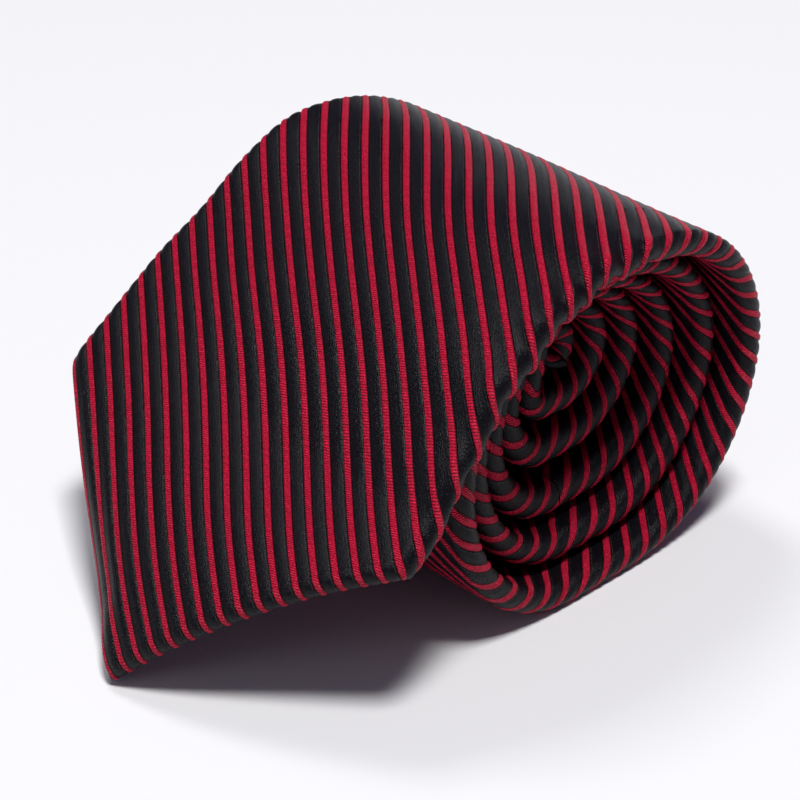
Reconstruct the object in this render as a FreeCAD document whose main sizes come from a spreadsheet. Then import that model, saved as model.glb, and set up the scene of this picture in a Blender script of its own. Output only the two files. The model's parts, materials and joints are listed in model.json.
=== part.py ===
import FreeCAD, Part

import math
import os

Vector = FreeCAD.Vector

# ---------------------------------------------------------------------------
# A necktie rolled up from its narrow end, with the wide pointed end left out
# as a flap that leans down to the table.
#
# Frame: the roll's axis lies along Y, +Z is up and z = 0 is the table.
# The origin is the centre of the flat on which the roll rests.
# The pointed blade end leans down towards -X.
# ---------------------------------------------------------------------------

doc = FreeCAD.newDocument("necktie")

# Driving dimensions: alias, value (mm or degrees), what it is.
DIMENSIONS = [
    ("blade_width", 85.0, "width across the shoulders of the wide blade"),
    ("core_width", 47.3, "width to which the blade and neck taper at the core"),
    ("tip_half_angle", 45.0, "half of the angle of each point"),
    ("tail_width", 38.0, "width of the narrow tail"),
    ("roll_radius", 35.0, "radius of the first turn on its right, from crest to table"),
    ("flap_clear", 1.57, "clearance between the flap and the first turn under it"),
    ("turn_clear", 0.9, "clearance between one turn and the next"),
    ("core_angle", 140.0, "how far past its top the last turn goes"),
    ("rest_run", 12.0, "flat stretch under the first turn"),
    ("run_ratio", 0.72, "how much shorter the flat is in each further turn"),
    ("centre_drift", 0.8, "how far the turns move towards -X, per turn"),
    ("leave_angle", 37.0, "slope at which the flap leaves the roll"),
    ("lean_angle", 44.0, "slope of the flap at its point"),
    ("flap_radius", 200.0, "bend of the flap's upper half"),
    ("cloth", 0.4, "thickness of the shell cloth"),
    ("wool", 1.9, "thickness of the blade's interlining"),
    ("tail_wool", 0.7, "thickness of the tail's interlining"),
    ("ply_gap", 0.1, "clearance between plies"),
    ("side_gap", 0.4, "clearance beside the interlining"),
    ("turn_gap", 0.3, "clearance between the blade and the tail in one turn"),
    ("wing_gap", 1.2, "gap between the two wings at the centre back"),
    ("hinge_gap", 0.4, "gap between the flap and the roll where they part"),
    ("seam_gap", 0.5, "gap at a piecing seam, filled by its thread"),
    ("neck_from", 5, "bend at whose start the neck piece begins, counted from 0"),
    ("neck_to", 2, "bends that the neck piece covers past the fold"),
    ("hem", 5.0, "width of cloth turned over along the blade point's edges"),
    ("tail_hem", 2.2, "the same on the tail"),
    ("apex", 74.0, "height above the point at which the wings meet"),
    ("tail_apex", 33.0, "the same on the tail"),
    ("end_margin", 12.0, "length of the tail's end piece past its apex"),
    ("lining", 0.3, "thickness of the tipping cloth"),
    ("thread", 0.3, "thickness of sewing thread as it lies"),
    ("stitch_long", 3.0, "length of one slip stitch"),
    ("stitch_pitch", 12.0, "spacing of the slip stitches"),
    ("seam_pitch", 4.5, "spacing of the stitches in a piecing seam"),
    ("hem_pitch", 4.8, "spacing of the stitches along a hem"),
    ("row_wide", 0.9, "width of a sewn row"),
    ("row_long", 8.5, "length of the rows that hold the keeper loop"),
    ("label_row", 10.2, "length of the rows that hold the label"),
    ("loop_band", 10.0, "width of the keeper loop's band"),
    ("loop_span", 54.0, "length of the keeper loop across the blade"),
    ("loop_cloth", 0.5, "thickness of the keeper loop's band"),
    ("loop_rise", 0.8, "slack height under the keeper loop"),
    ("label_long", 42.0, "length of the blank label across the blade"),
    ("label_wide", 12.0, "width of the blank label"),
    ("label_cloth", 0.25, "thickness of the label"),
    ("tag_long", 22.0, "length of the care tag across the blade"),
    ("tag_wide", 9.0, "width of the care tag"),
    ("tack_long", 6.0, "length of a bar tack across the blade"),
    ("tack_wide", 1.4, "width of a bar tack"),
]

sheet = doc.addObject("Spreadsheet::Sheet", "dims")
for row, (alias, value, meaning) in enumerate(DIMENSIONS, start=1):
    sheet.set("A%d" % row, alias)
    sheet.set("B%d" % row, str(value))
    sheet.set("C%d" % row, meaning)
    sheet.setAlias("B%d" % row, alias)
doc.recompute()


def dim(alias):
    """The value of one driving dimension."""
    return float(sheet.get(alias))


SUBPARTS = []


def keep(obj, name):
    """Label a finished sub-part and list it for writing."""
    obj.Label = name
    SUBPARTS.append(obj)
    return obj


def feature(name, shape):
    """Add a sub-part whose shape is made with Part's own functions."""
    obj = doc.addObject("Part::Feature", name)
    obj.Shape = shape
    return keep(obj, name)


# ---------------------------------------------------------------------------
# The path of the cloth's face, in the XZ plane.  It is a chain of straight
# runs and arcs, each tangent to the next.  A ply lies at an offset to the
# right of the path, which is the inside of the roll along the blade.
# ---------------------------------------------------------------------------

class Stretch:
    """One straight run (radius None) or arc of the path."""

    def __init__(self, start, heading, length, radius=None, side=1):
        self.start = start
        self.heading = heading
        self.length = length
        self.radius = radius
        self.side = side           # +1 turns right, -1 turns left

    def heading_at(self, along):
        if self.radius is None:
            return self.heading
        return self.heading - self.side * along / self.radius

    def normal_at(self, along):
        angle = self.heading_at(along)
        return Vector(math.sin(angle), 0, -math.cos(angle))

    def tangent_at(self, along):
        angle = self.heading_at(along)
        return Vector(math.cos(angle), 0, math.sin(angle))

    def point(self, along, offset=0.0, y=0.0):
        if self.radius is None:
            base = self.start + self.tangent_at(0) * along
        else:
            centre = self.start + self.normal_at(0) * (self.side * self.radius)
            base = centre - self.normal_at(along) * (self.side * self.radius)
        spot = base + self.normal_at(along) * offset
        return Vector(spot.x, y, spot.z)

    def end(self):
        return self.point(self.length)

    def trimmed(self, first, last):
        """The same stretch between two lengths along it."""
        return Stretch(self.point(first), self.heading_at(first), last - first,
                       self.radius, self.side)


def chain(start, heading, steps):
    """Stretches laid end to end; each step is (length, radius, side)."""
    stretches = []
    for length, radius, side in steps:
        piece = Stretch(start, heading, length, radius, side)
        stretches.append(piece)
        start = piece.end()
        heading = piece.heading_at(length)
    return stretches


def total(stretches):
    return sum(piece.length for piece in stretches)


def cut_path(stretches, first, last):
    """The part of a path between two lengths along it."""
    result = []
    begun = 0.0
    for piece in stretches:
        low = max(first - begun, 0.0)
        high = min(last - begun, piece.length)
        if high - low > 1e-6:
            result.append(piece.trimmed(low, high))
        begun += piece.length
    return result


def spot_on(stretches, along):
    """The stretch and the length along it for a length along a path."""
    for piece in stretches:
        if along <= piece.length:
            return piece, along
        along -= piece.length
    return stretches[-1], stretches[-1].length


# Plies of the blade, as offsets from its face.
cloth = dim("cloth")
wool_from = cloth + dim("ply_gap")
wool_to = wool_from + dim("wool")
wing_from = wool_to + dim("ply_gap")
blade_thick = wing_from + cloth

# Plies of the tail, counted from its own face in the same way.
tail_wool_to = wool_from + dim("tail_wool")
tail_wing_from = tail_wool_to + dim("ply_gap")
tail_thick = tail_wing_from + cloth

# The two lie back to back, so a turn takes the blade, a gap and the tail.
turn_thick = blade_thick + dim("turn_gap") + tail_thick
fold_radius = turn_thick / 2

# The first turn's left side fits under the flap, and each turn is one pitch
# inside the last, for as many turns as leave room for the tail at the core.
leave = math.radians(dim("leave_angle"))
roll_radius = dim("roll_radius")
under_flap = dim("rest_run") * math.sin(leave) + blade_thick + dim("flap_clear")
left_radius = roll_radius - under_flap / (1 + math.cos(leave))
pitch = turn_thick + dim("turn_clear")
turns = min(2 + int((left_radius - turn_thick) / pitch), 1 + int((roll_radius - turn_thick) / pitch))

# The bends of the roll: a right-hand and a left-hand bend for each turn, each
# (centre x, centre z, radius).
bends = []
for turn in range(turns):
    right_x = dim("rest_run") / 2 - dim("centre_drift") * turn
    left_x = right_x - dim("rest_run") * dim("run_ratio") ** turn
    bends.append((right_x, roll_radius, roll_radius - pitch * turn))
    bends.append((left_x, left_radius, left_radius - pitch * turn))
bends = bends[:-1]


def tangent_run(near, far):
    """Heading and length of the straight run from one bend to the next."""
    across, up = far[0] - near[0], far[1] - near[1]
    apart = math.hypot(across, up)
    length = math.sqrt(apart ** 2 - (far[2] - near[2]) ** 2)
    return math.atan2(up, across) + math.asin((far[2] - near[2]) / apart), length


# The flap, from its point up to the hinge line where it leaves the roll.
lean = math.radians(dim("lean_angle"))
crest = 2 * roll_radius
tip_height = blade_thick * math.cos(lean)
bend_long = dim("flap_radius") * (lean - leave)
bend_rise = dim("flap_radius") * (math.cos(leave) - math.cos(lean))
bend_reach = dim("flap_radius") * (math.sin(lean) - math.sin(leave))
straight_rise = crest - roll_radius * (1 - math.cos(leave)) - bend_rise - tip_height
straight_long = straight_rise / math.sin(lean)
flap_long = straight_long + bend_long
tip_x = bends[0][0] - roll_radius * math.sin(leave) - bend_reach - straight_long * math.cos(lean)

# Angle turned in each bend, and the straight run that follows it.
bend_steps = []
heading = leave
for index, bend in enumerate(bends):
    if index + 1 == len(bends):
        bend_steps.append((heading + math.radians(dim("core_angle")), bend[2], None))
        break
    if index % 2 == 0:
        bend_steps.append((heading + math.pi, bend[2], bend[0] - bends[index + 1][0]))
        heading = -math.pi
    else:
        out_heading, run = tangent_run(bend, bends[index + 1])
        bend_steps.append((math.pi - out_heading, bend[2], run))
        heading = out_heading

steps = [(straight_long, None, 1), (bend_long, dim("flap_radius"), 1)]
marks = []                         # length along the path where each bend starts
begun = flap_long
for turned, radius, run in bend_steps:
    marks.append(begun)
    steps.append((turned * radius, radius, 1))
    begun += turned * radius
    if run is not None:
        steps.append((run, None, 1))
        begun += run
blade_path = chain(Vector(tip_x, 0, tip_height), lean, steps)
blade_long = total(blade_path)

# The fold at the core, then the tail going back out between the turns.
last = blade_path[-1]
fold_path = chain(last.end(), last.heading_at(last.length), [(math.pi * fold_radius, fold_radius, 1)])
steps = []
for index in range(len(bends) - 1, 0, -1):
    turned, radius, run = bend_steps[index]
    steps.append((turned * (radius - turn_thick), radius - turn_thick, -1))
    if index > 1:
        steps.append((bend_steps[index - 1][2], None, -1))
tail_path = chain(fold_path[0].end(), fold_path[0].heading_at(fold_path[0].length), steps)
tail_long = total(tail_path)


taper = (dim("blade_width") - dim("core_width")) / (blade_long - flap_long)


def half_width(along):
    """Half of the blade's width, at a length along the blade path."""
    return (dim("blade_width") - max(along - flap_long, 0) * taper) / 2


# ---------------------------------------------------------------------------
# Plies: a section of (offset, y) corners carried along a path.
# ---------------------------------------------------------------------------

LONGEST_ARC = math.radians(120)    # no arc of a ply turns further than this in one face
CURVE_STEP = math.radians(10)      # angle between the points of one tapered edge round an arc


def carried_edge(piece, begun, corner):
    """The edge that one corner of the section draws along a stretch."""
    offset_a, y_a = corner(begun)
    offset_b, y_b = corner(begun + piece.length)
    first = piece.point(0, offset_a, y_a)
    final = piece.point(piece.length, offset_b, y_b)
    if piece.radius is None:
        return Part.LineSegment(first, final).toShape()
    if abs(y_a - y_b) < 1e-9:
        middle = piece.point(piece.length / 2, offset_a, y_a)
        return Part.Arc(first, middle, final).toShape()
    points = []
    count = math.ceil(piece.length / piece.radius / CURVE_STEP)
    for step in range(count + 1):
        share = step / count
        points.append(piece.point(share * piece.length, offset_a, y_a + (y_b - y_a) * share))
    curve = Part.BSplineCurve()
    curve.interpolate(points)
    return curve.toShape()


def short_arcs(path):
    """The same path with every arc divided, so that none turns more than a third of a circle."""
    result = []
    for piece in path:
        count = 1
        if piece.radius is not None:
            count = math.ceil(piece.length / piece.radius / LONGEST_ARC)
        step = piece.length / count
        result += [piece.trimmed(number * step, (number + 1) * step) for number in range(count)]
    return result


def carried_face(piece, near, far):
    """The face between two carried edges: flat along a straight run, ruled round an arc."""
    if piece.radius is not None:
        return Part.makeRuledSurface(near, far)
    out = [near.valueAt(at) for at in near.ParameterRange]
    back = [far.valueAt(at) for at in reversed(far.ParameterRange)]
    return Part.Face(Part.makePolygon(out + back + out[:1]))


def carried_solid(path, begun, corners):
    """A closed solid: the section's corners carried along the whole path."""
    faces = []
    at = begun
    path = short_arcs(path)
    for piece in path:
        edges = [carried_edge(piece, at, corner) for corner in corners]
        for near, far in zip(edges, edges[1:] + edges[:1]):
            faces.append(carried_face(piece, near, far))
        at += piece.length
    for piece, along, where in ((path[0], 0, begun), (path[-1], path[-1].length, at)):
        outline = []
        for corner in corners:
            offset, y = corner(where)
            outline.append(piece.point(along, offset, y))
        faces.append(Part.Face(Part.makePolygon(outline + outline[:1])))
    sewn = Part.makeCompound(faces)
    sewn.sewShape()
    solid = Part.Solid(sewn.Shells[0])
    if solid.Volume < 0:
        solid.reverse()
    return solid


def corner_at(offset, side, margin=0.0, width=half_width):
    """A corner beside one edge of the cloth, a margin inside it."""
    return lambda along: (offset, side * (width(along) - margin))


def fixed_corner(offset, y):
    return lambda along: (offset, y)


def slab_corners(low, high, margin, width=half_width):
    """The corners of a plain rectangular ply."""
    return [corner_at(low, -1, margin, width), corner_at(low, 1, margin, width),
            corner_at(high, 1, margin, width), corner_at(high, -1, margin, width)]


def wrap_corners(wing_low, thick, width=half_width):
    """The corners of the shell: face, two side folds and two wings behind."""
    lip = dim("wing_gap") / 2
    return [corner_at(0, -1, 0, width), corner_at(0, 1, 0, width),
            corner_at(thick, 1, 0, width), fixed_corner(thick, lip),
            fixed_corner(wing_low, lip), corner_at(wing_low, 1, cloth, width),
            corner_at(cloth, 1, cloth, width), corner_at(cloth, -1, cloth, width),
            corner_at(wing_low, -1, cloth, width), fixed_corner(wing_low, -lip),
            fixed_corner(thick, -lip), corner_at(thick, -1, 0, width)]


# ---------------------------------------------------------------------------
# Pointed ends: the wide blade's point and the tail's point.
# ---------------------------------------------------------------------------

half_angle = math.radians(dim("tip_half_angle"))
spread = math.tan(half_angle)


def prism(outline, frame, reach):
    """A prism over an outline of (height above the point, y) in a point's frame."""
    origin, tangent, normal = frame
    points = [origin + tangent * height + Vector(0, y, 0) - normal * reach for height, y in outline]
    face = Part.Face(Part.makePolygon(points + points[:1]))
    return face.extrude(normal * (2 * reach))


def pointed(shape, frame, half, margin):
    """Cut a ply to the V of its end, a margin inside the outer V."""
    start = margin / math.sin(half_angle)
    far = 2 * half
    for side in (-1, 1):
        outline = [(start, 0), (start + far / spread, side * far), (-far, side * far), (-far, 0)]
        shape = shape.cut(prism(outline, frame, half))
    return shape


def diamond(frame, half, top, hem, inset):
    """The diamond behind a point that the hem and the wings leave open."""
    turned = hem + inset
    foot = turned / math.sin(half_angle)
    wide = half - turned
    outline = [(foot, 0), (foot + wide / spread, wide), (top - inset, 0), (foot + wide / spread, -wide)]
    return prism(outline, frame, half)


def pointed_end(path, half, wing_low, wool_high, top, hem, slit_path, frame):
    """The shell, interlining and tipping of one pointed end."""

    def width(along):
        return half

    thick = wing_low + cloth
    ply_gap = dim("ply_gap")
    inside = cloth + dim("side_gap")
    outer = carried_solid(path, 0, slab_corners(0, thick, 0, width))
    outer = pointed(outer, frame, half, 0)
    hollow = carried_solid(path, 0, slab_corners(cloth, wing_low, cloth, width))
    hollow = pointed(hollow, frame, half, cloth)
    behind = carried_solid(path, 0, slab_corners(wing_low - ply_gap, thick + ply_gap, 0, width))
    lip = dim("wing_gap") / 2
    slit = [fixed_corner(wing_low - ply_gap, -lip), fixed_corner(wing_low - ply_gap, lip),
            fixed_corner(thick + ply_gap, lip), fixed_corner(thick + ply_gap, -lip)]
    shell = outer.cut(hollow).cut(behind.common(diamond(frame, half, top, hem, 0)))
    shell = shell.cut(carried_solid(slit_path, 0, slit))
    core = carried_solid(path, 0, slab_corners(wool_from, wool_high, inside, width))
    core = pointed(core, frame, half, inside)
    lined = carried_solid(path, 0, slab_corners(wing_low, wing_low + dim("lining"), cloth, width))
    return shell, core, lined.common(diamond(frame, half, top, hem, ply_gap))


blade_half = dim("blade_width") / 2
flap_end = flap_long - dim("hinge_gap") / 2
flap_path = cut_path(blade_path, 0, flap_end)
slit_path = cut_path(blade_path, dim("apex") - cloth * 2, flap_long)
tip = blade_path[0]
tip_frame = (tip.point(0), tip.tangent_at(0), tip.normal_at(0))
shell, core, lined = pointed_end(flap_path, blade_half, wing_from, wool_to, dim("apex"), dim("hem"),
                                 slit_path, tip_frame)
feature("blade_shell_flap", shell)
feature("blade_interlining_flap", core)
feature("blade_tipping", lined)

# ---------------------------------------------------------------------------
# The rolled part of the blade, and the neck piece that carries on round the
# core and a little way back out.
# ---------------------------------------------------------------------------

tail_half = dim("tail_width") / 2


def tail_width(along):
    return tail_half


roll_from = flap_long + dim("hinge_gap") / 2
seam_at = marks[int(dim("neck_from"))] - dim("seam_gap")
feature("blade_shell_roll",
        carried_solid(cut_path(blade_path, roll_from, seam_at), roll_from,
                      wrap_corners(wing_from, blade_thick)))

neck_start = marks[int(dim("neck_from"))]
core_half = half_width(blade_long)
tail_seam = total(tail_path[:2 * int(dim("neck_to")) - 1])
neck = carried_solid(cut_path(blade_path, neck_start, blade_long), neck_start,
                     wrap_corners(wing_from, blade_thick))
fold = carried_solid(fold_path, 0, slab_corners(0, cloth, 0, lambda along: core_half))
back = carried_solid(cut_path(tail_path, 0, tail_seam), 0,
                     wrap_corners(tail_wing_from, tail_thick, tail_width))
feature("neck_shell", neck.fuse([fold, back]).removeSplitter())

feature("interlining_roll",
        carried_solid(cut_path(blade_path, roll_from, blade_long - dim("ply_gap")), roll_from,
                      slab_corners(wool_from, wool_to, cloth + dim("side_gap"))))

# ---------------------------------------------------------------------------
# The narrow tail, folded back at the core and wound between the turns.
# ---------------------------------------------------------------------------

tail_end = dim("tail_apex") + dim("end_margin")
end_from = tail_long - tail_end
end_path = cut_path(tail_path, end_from, tail_long)
tail_tip = end_path[-1]
lean_at = tail_tip.length - tail_half / 2
tail_frame = (tail_tip.end(), tail_tip.tangent_at(lean_at) * -1, tail_tip.normal_at(lean_at))
slit_path = cut_path(end_path, 0, dim("end_margin") + cloth * 2)
shell, core, lined = pointed_end(end_path, tail_half, tail_wing_from, tail_wool_to, dim("tail_apex"),
                                 dim("tail_hem"), slit_path, tail_frame)
tail_start = tail_seam + dim("seam_gap")
long_part = carried_solid(cut_path(tail_path, tail_start, end_from), 0,
                          wrap_corners(tail_wing_from, tail_thick, tail_width))
feature("tail_shell", long_part.fuse(shell).removeSplitter())
inside = cloth + dim("side_gap")
long_part = carried_solid(cut_path(tail_path, dim("ply_gap"), end_from), 0,
                          slab_corners(wool_from, tail_wool_to, inside, tail_width))
feature("tail_interlining", long_part.fuse(core).removeSplitter())
feature("tail_tipping", lined)

# ---------------------------------------------------------------------------
# Sewing thread: small closed solids lying where the stitches are.
# ---------------------------------------------------------------------------

THREAD = dim("thread")


def block(path, along, offset, y, length, depth, width):
    """A block on a path: its length runs along the path, its depth inwards."""
    piece, rest = spot_on(path, along)
    centre = piece.point(rest, offset, y)
    tangent = piece.tangent_at(rest)
    normal = piece.normal_at(rest)
    corner = centre - tangent * (length / 2) - normal * (depth / 2) - Vector(0, width / 2, 0)
    outline = [corner, corner + tangent * length, corner + tangent * length + Vector(0, width, 0),
               corner + Vector(0, width, 0)]
    return Part.Face(Part.makePolygon(outline + outline[:1])).extrude(normal * depth)


def slip_stitches(path, first, last, wing_low):
    """Stitches that hold the two wings together, down the centre back."""
    count = int((last - first) / dim("stitch_pitch"))
    across = dim("wing_gap") - 2 * dim("ply_gap")
    middle = wing_low + cloth / 2
    return [block(path, first + dim("stitch_pitch") * step, middle, 0, dim("stitch_long"), THREAD, across)
            for step in range(count)]


def seam_stitches(path, along, half):
    """A row of stitches along a piecing seam, in the gap between two cloths."""
    length = dim("seam_gap") - 2 * dim("ply_gap")
    count = int(2 * half / dim("seam_pitch"))
    first = -(count - 1) * dim("seam_pitch") / 2
    return [block(path, along, cloth / 2, first + step * dim("seam_pitch"), length, THREAD,
                  dim("stitch_long")) for step in range(count)]


def hem_stitches(frame, half, hem, wing_low):
    """Stitches that hold the tipping to the turned-over hem, along both sides of a point."""
    origin, tangent, normal = frame
    foot = hem / math.sin(half_angle)
    wide = half - hem
    run = wide / math.sin(half_angle)
    level = wing_low + cloth + dim("ply_gap")
    stitches = []
    count = int(run / dim("hem_pitch"))
    for side in (-1, 1):
        along_edge = tangent * math.cos(half_angle) + Vector(0, side * math.sin(half_angle), 0)
        across_edge = tangent * math.sin(half_angle) - Vector(0, side * math.cos(half_angle), 0)
        for step in range(1, count):
            middle = origin + tangent * foot + along_edge * (run * step / count) + normal * level
            corner = middle - along_edge * (THREAD / 2) - across_edge * (dim("stitch_long") / 2)
            outline = [corner, corner + along_edge * THREAD,
                       corner + along_edge * THREAD + across_edge * dim("stitch_long"),
                       corner + across_edge * dim("stitch_long")]
            stitches.append(Part.Face(Part.makePolygon(outline + outline[:1])).extrude(normal * THREAD))
    return stitches


first_slip = flap_long + dim("stitch_pitch")
last_slip = marks[-4]              # the bends further in are too tight for a straight stitch
feature("slip_stitch_thread",
        Part.makeCompound(slip_stitches(blade_path, first_slip, last_slip, wing_from)))
first_slip = tail_seam + dim("stitch_pitch")
last_slip = tail_long - dim("tail_apex") - dim("stitch_pitch")
feature("tail_slip_stitch_thread",
        Part.makeCompound(slip_stitches(tail_path, first_slip, last_slip, tail_wing_from)))
feature("blade_neck_seam_thread",
        Part.makeCompound(seam_stitches(blade_path, seam_at + dim("seam_gap") / 2,
                                        half_width(seam_at) - dim("stitch_long"))))
feature("neck_tail_seam_thread",
        Part.makeCompound(seam_stitches(tail_path, tail_seam + dim("seam_gap") / 2,
                                        tail_half - dim("stitch_long"))))
feature("tipping_stitches",
        Part.makeCompound(hem_stitches(tip_frame, blade_half, dim("hem"), wing_from)))
tack_at = (dim("apex") + flap_end) / 2
feature("blade_bar_tack",
        block(blade_path, tack_at, blade_thick + dim("ply_gap") + THREAD / 2, 0,
              dim("tack_wide"), THREAD, dim("tack_long")))
tack_at = tail_long - dim("tail_apex") - dim("hem") * 2
feature("tail_bar_tack",
        block(tail_path, tack_at, tail_wing_from + cloth / 2, 0,
              dim("tack_wide"), THREAD, dim("wing_gap") - 2 * dim("ply_gap")))

# ---------------------------------------------------------------------------
# Keeper loop, blank label and care tag, each sewn to the back of the blade.
# The loop lies on the flat under the roll, the label under the crest.
# ---------------------------------------------------------------------------

BLADE_BACK = "(2 * dims.cloth + dims.wool + 3 * dims.ply_gap)"
CREST_X = "dims.rest_run / 2"
LABEL_SAG = "(dims.label_wide * dims.label_wide / (8 * (dims.roll_radius - %s)))" % BLADE_BACK
LABEL_TOP = "(2 * dims.roll_radius - %s - %s)" % (BLADE_BACK, LABEL_SAG)


def box(name, long_x, long_y, high, centre_y, base, centre_x="0"):
    """A box about (centre_x, centre_y), with its sizes and place bound to the sheet."""
    obj = doc.addObject("Part::Box", name)
    obj.setExpression("Length", long_x)
    obj.setExpression("Width", long_y)
    obj.setExpression("Height", high)
    obj.setExpression("Placement.Base.x", "%s - (%s) / 2" % (centre_x, long_x))
    obj.setExpression("Placement.Base.y", "%s - (%s) / 2" % (centre_y, long_y))
    obj.setExpression("Placement.Base.z", base)
    return obj


LOOP_LEG = "(dims.loop_band / 3)"
band = box("loop_block", "dims.loop_band", "dims.loop_span", "dims.loop_rise + dims.loop_cloth", "0",
           BLADE_BACK)
space = box("loop_space", "dims.loop_band * 2", "dims.loop_span - 2 * %s" % LOOP_LEG, "dims.loop_rise", "0",
            BLADE_BACK)
loop = doc.addObject("Part::Cut", "keeper_loop")
loop.Base = band
loop.Tool = space
keep(loop, "keeper_loop")

LOOP_TOP = "%s + dims.loop_rise + dims.loop_cloth + dims.ply_gap" % BLADE_BACK
rows = []
for side in (-1, 1):
    centre = "%d * (dims.loop_span - %s) / 2" % (side, LOOP_LEG)
    rows.append(box("loop_row", "dims.row_long", "dims.row_wide", "dims.thread", centre, LOOP_TOP))
pair = doc.addObject("Part::Compound", "keeper_loop_stitches")
pair.Links = rows
keep(pair, "keeper_loop_stitches")

keep(box("blank_label", "dims.label_wide", "dims.label_long", "dims.label_cloth", "0",
         "%s - dims.label_cloth" % LABEL_TOP, CREST_X), "blank_label")
keep(box("care_tag", "dims.tag_wide", "dims.tag_long", "dims.label_cloth", "0",
         "%s - 2 * dims.label_cloth - dims.ply_gap" % LABEL_TOP, CREST_X), "care_tag")
rows = []
for side in (-1, 1):
    centre = "%d * (dims.label_long / 2 - dims.row_wide)" % side
    rows.append(box("label_row", "dims.label_row", "dims.row_wide", "dims.thread", centre,
                    "%s - dims.label_cloth - dims.ply_gap - dims.thread" % LABEL_TOP, CREST_X))
pair = doc.addObject("Part::Compound", "label_stitches")
pair.Links = rows
keep(pair, "label_stitches")

# ---------------------------------------------------------------------------
# Check every object, then write each sub-part.
# ---------------------------------------------------------------------------

doc.recompute()
for obj in doc.Objects:
    if "Invalid" in obj.State or "Error" in obj.State:
        raise RuntimeError("this object failed: " + obj.Label)
for obj in SUBPARTS:
    if obj.Shape.isNull() or not obj.Shape.isValid() or not obj.Shape.Solids:
        raise RuntimeError("this sub-part has a bad shape: " + obj.Label)

os.makedirs("parts", exist_ok=True)
for obj in SUBPARTS:
    obj.Shape.exportStep("parts/%s.step" % obj.Label)
    print(obj.Label, len(obj.Shape.Solids), round(obj.Shape.Volume, 1))
hinge = blade_path[2].point(0)
print("blade and neck", round(blade_long, 1), "tail", round(tail_long, 1),
      "flap", round(flap_long, 1), "point at x", round(tip_x, 1))
print("hinge line at x", round(hinge.x, 3), "z", round(hinge.z, 3))
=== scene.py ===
import json
import math

import bmesh
import bpy
import numpy as np
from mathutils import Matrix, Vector


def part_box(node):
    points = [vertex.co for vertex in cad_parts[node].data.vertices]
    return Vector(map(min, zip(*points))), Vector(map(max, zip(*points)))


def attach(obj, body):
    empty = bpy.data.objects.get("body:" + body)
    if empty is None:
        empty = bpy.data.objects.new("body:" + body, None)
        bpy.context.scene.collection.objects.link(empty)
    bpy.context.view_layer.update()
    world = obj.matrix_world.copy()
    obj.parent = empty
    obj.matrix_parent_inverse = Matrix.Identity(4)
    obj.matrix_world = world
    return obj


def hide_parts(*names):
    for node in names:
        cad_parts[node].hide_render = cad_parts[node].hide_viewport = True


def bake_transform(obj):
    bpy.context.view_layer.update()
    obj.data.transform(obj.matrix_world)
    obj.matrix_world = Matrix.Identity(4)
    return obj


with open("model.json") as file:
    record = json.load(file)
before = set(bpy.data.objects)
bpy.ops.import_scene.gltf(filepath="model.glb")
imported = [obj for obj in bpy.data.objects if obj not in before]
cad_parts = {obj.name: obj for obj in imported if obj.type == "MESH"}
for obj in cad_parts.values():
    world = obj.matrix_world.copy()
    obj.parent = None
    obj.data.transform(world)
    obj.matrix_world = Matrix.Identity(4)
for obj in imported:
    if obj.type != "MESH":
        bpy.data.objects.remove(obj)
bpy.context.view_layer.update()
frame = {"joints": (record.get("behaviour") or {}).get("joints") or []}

bl_info = {
    "name": "Rolled Necktie",
    "version": (1, 0, 0),
    "blender": (4, 5, 0),
    "location": "3D View > Sidebar > Necktie",
    "description": "Builds a rolled striped necktie round its packed model",
    "category": "Add Mesh",
}

MM = 0.001
FLAP_LOW, FLAP_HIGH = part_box("blade_shell_flap")
ROLL_LOW, ROLL_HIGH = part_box("blade_shell_roll")
TAIL_LOW, TAIL_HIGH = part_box("tail_shell")
LABEL_LOW, LABEL_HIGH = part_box("blank_label")
TAG_LOW, TAG_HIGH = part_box("care_tag")
LOOP_LOW, LOOP_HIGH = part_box("keeper_loop")
LIFT = next(joint for joint in frame["joints"] if joint["name"] == "blade_lift")

# ---------------------------------------------------------------------------
# Sizes and colours that a user would change.
# ---------------------------------------------------------------------------


def length(name, description, default):
    """A length property, in metres."""
    return bpy.props.FloatProperty(name=name, description=description, default=default,
                                   unit="LENGTH", precision=5)


def turn(name, description, degrees):
    """An angle property, given in degrees."""
    return bpy.props.FloatProperty(name=name, description=description, default=math.radians(degrees),
                                   unit="ROTATION")


def share_of(name, description, default):
    """A property that is a share of something."""
    return bpy.props.FloatProperty(name=name, description=description, default=default, subtype="FACTOR")


def colour(name, description, default):
    """A linear colour property."""
    return bpy.props.FloatVectorProperty(name=name, description=description, default=default,
                                         size=3, subtype="COLOR", min=0, max=1)


class TieCut(bpy.types.PropertyGroup):
    """How the tie is cut and folded."""

    blade_width: length("Blade width", "Width across the shoulders of the wide blade",
                        FLAP_HIGH.y - FLAP_LOW.y)
    core_width: length("Core width", "Width to which the blade and neck taper at the core", 0.0473)
    tail_width: length("Tail width", "Width of the narrow tail", TAIL_HIGH.y - TAIL_LOW.y)
    blade_edge: length("Blade edge", "Radius of the soft fold down each side of the blade", 0.0021)
    point_edge: length("Point edge", "Radius of the fold along the blade's point", 0.0016)
    tail_edge: length("Tail edge", "Radius of the fold down each side of the tail", 0.00085)
    hem: length("Hem", "Width of cloth turned over along the blade's point", 0.005)
    apex: length("Apex", "Height above the point at which the two wings meet", 0.074)
    tail_apex: length("Tail apex", "The same on the tail", 0.033)
    wing_gap: length("Wing gap", "Gap between the two wings at the centre back", 0.0012)


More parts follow.
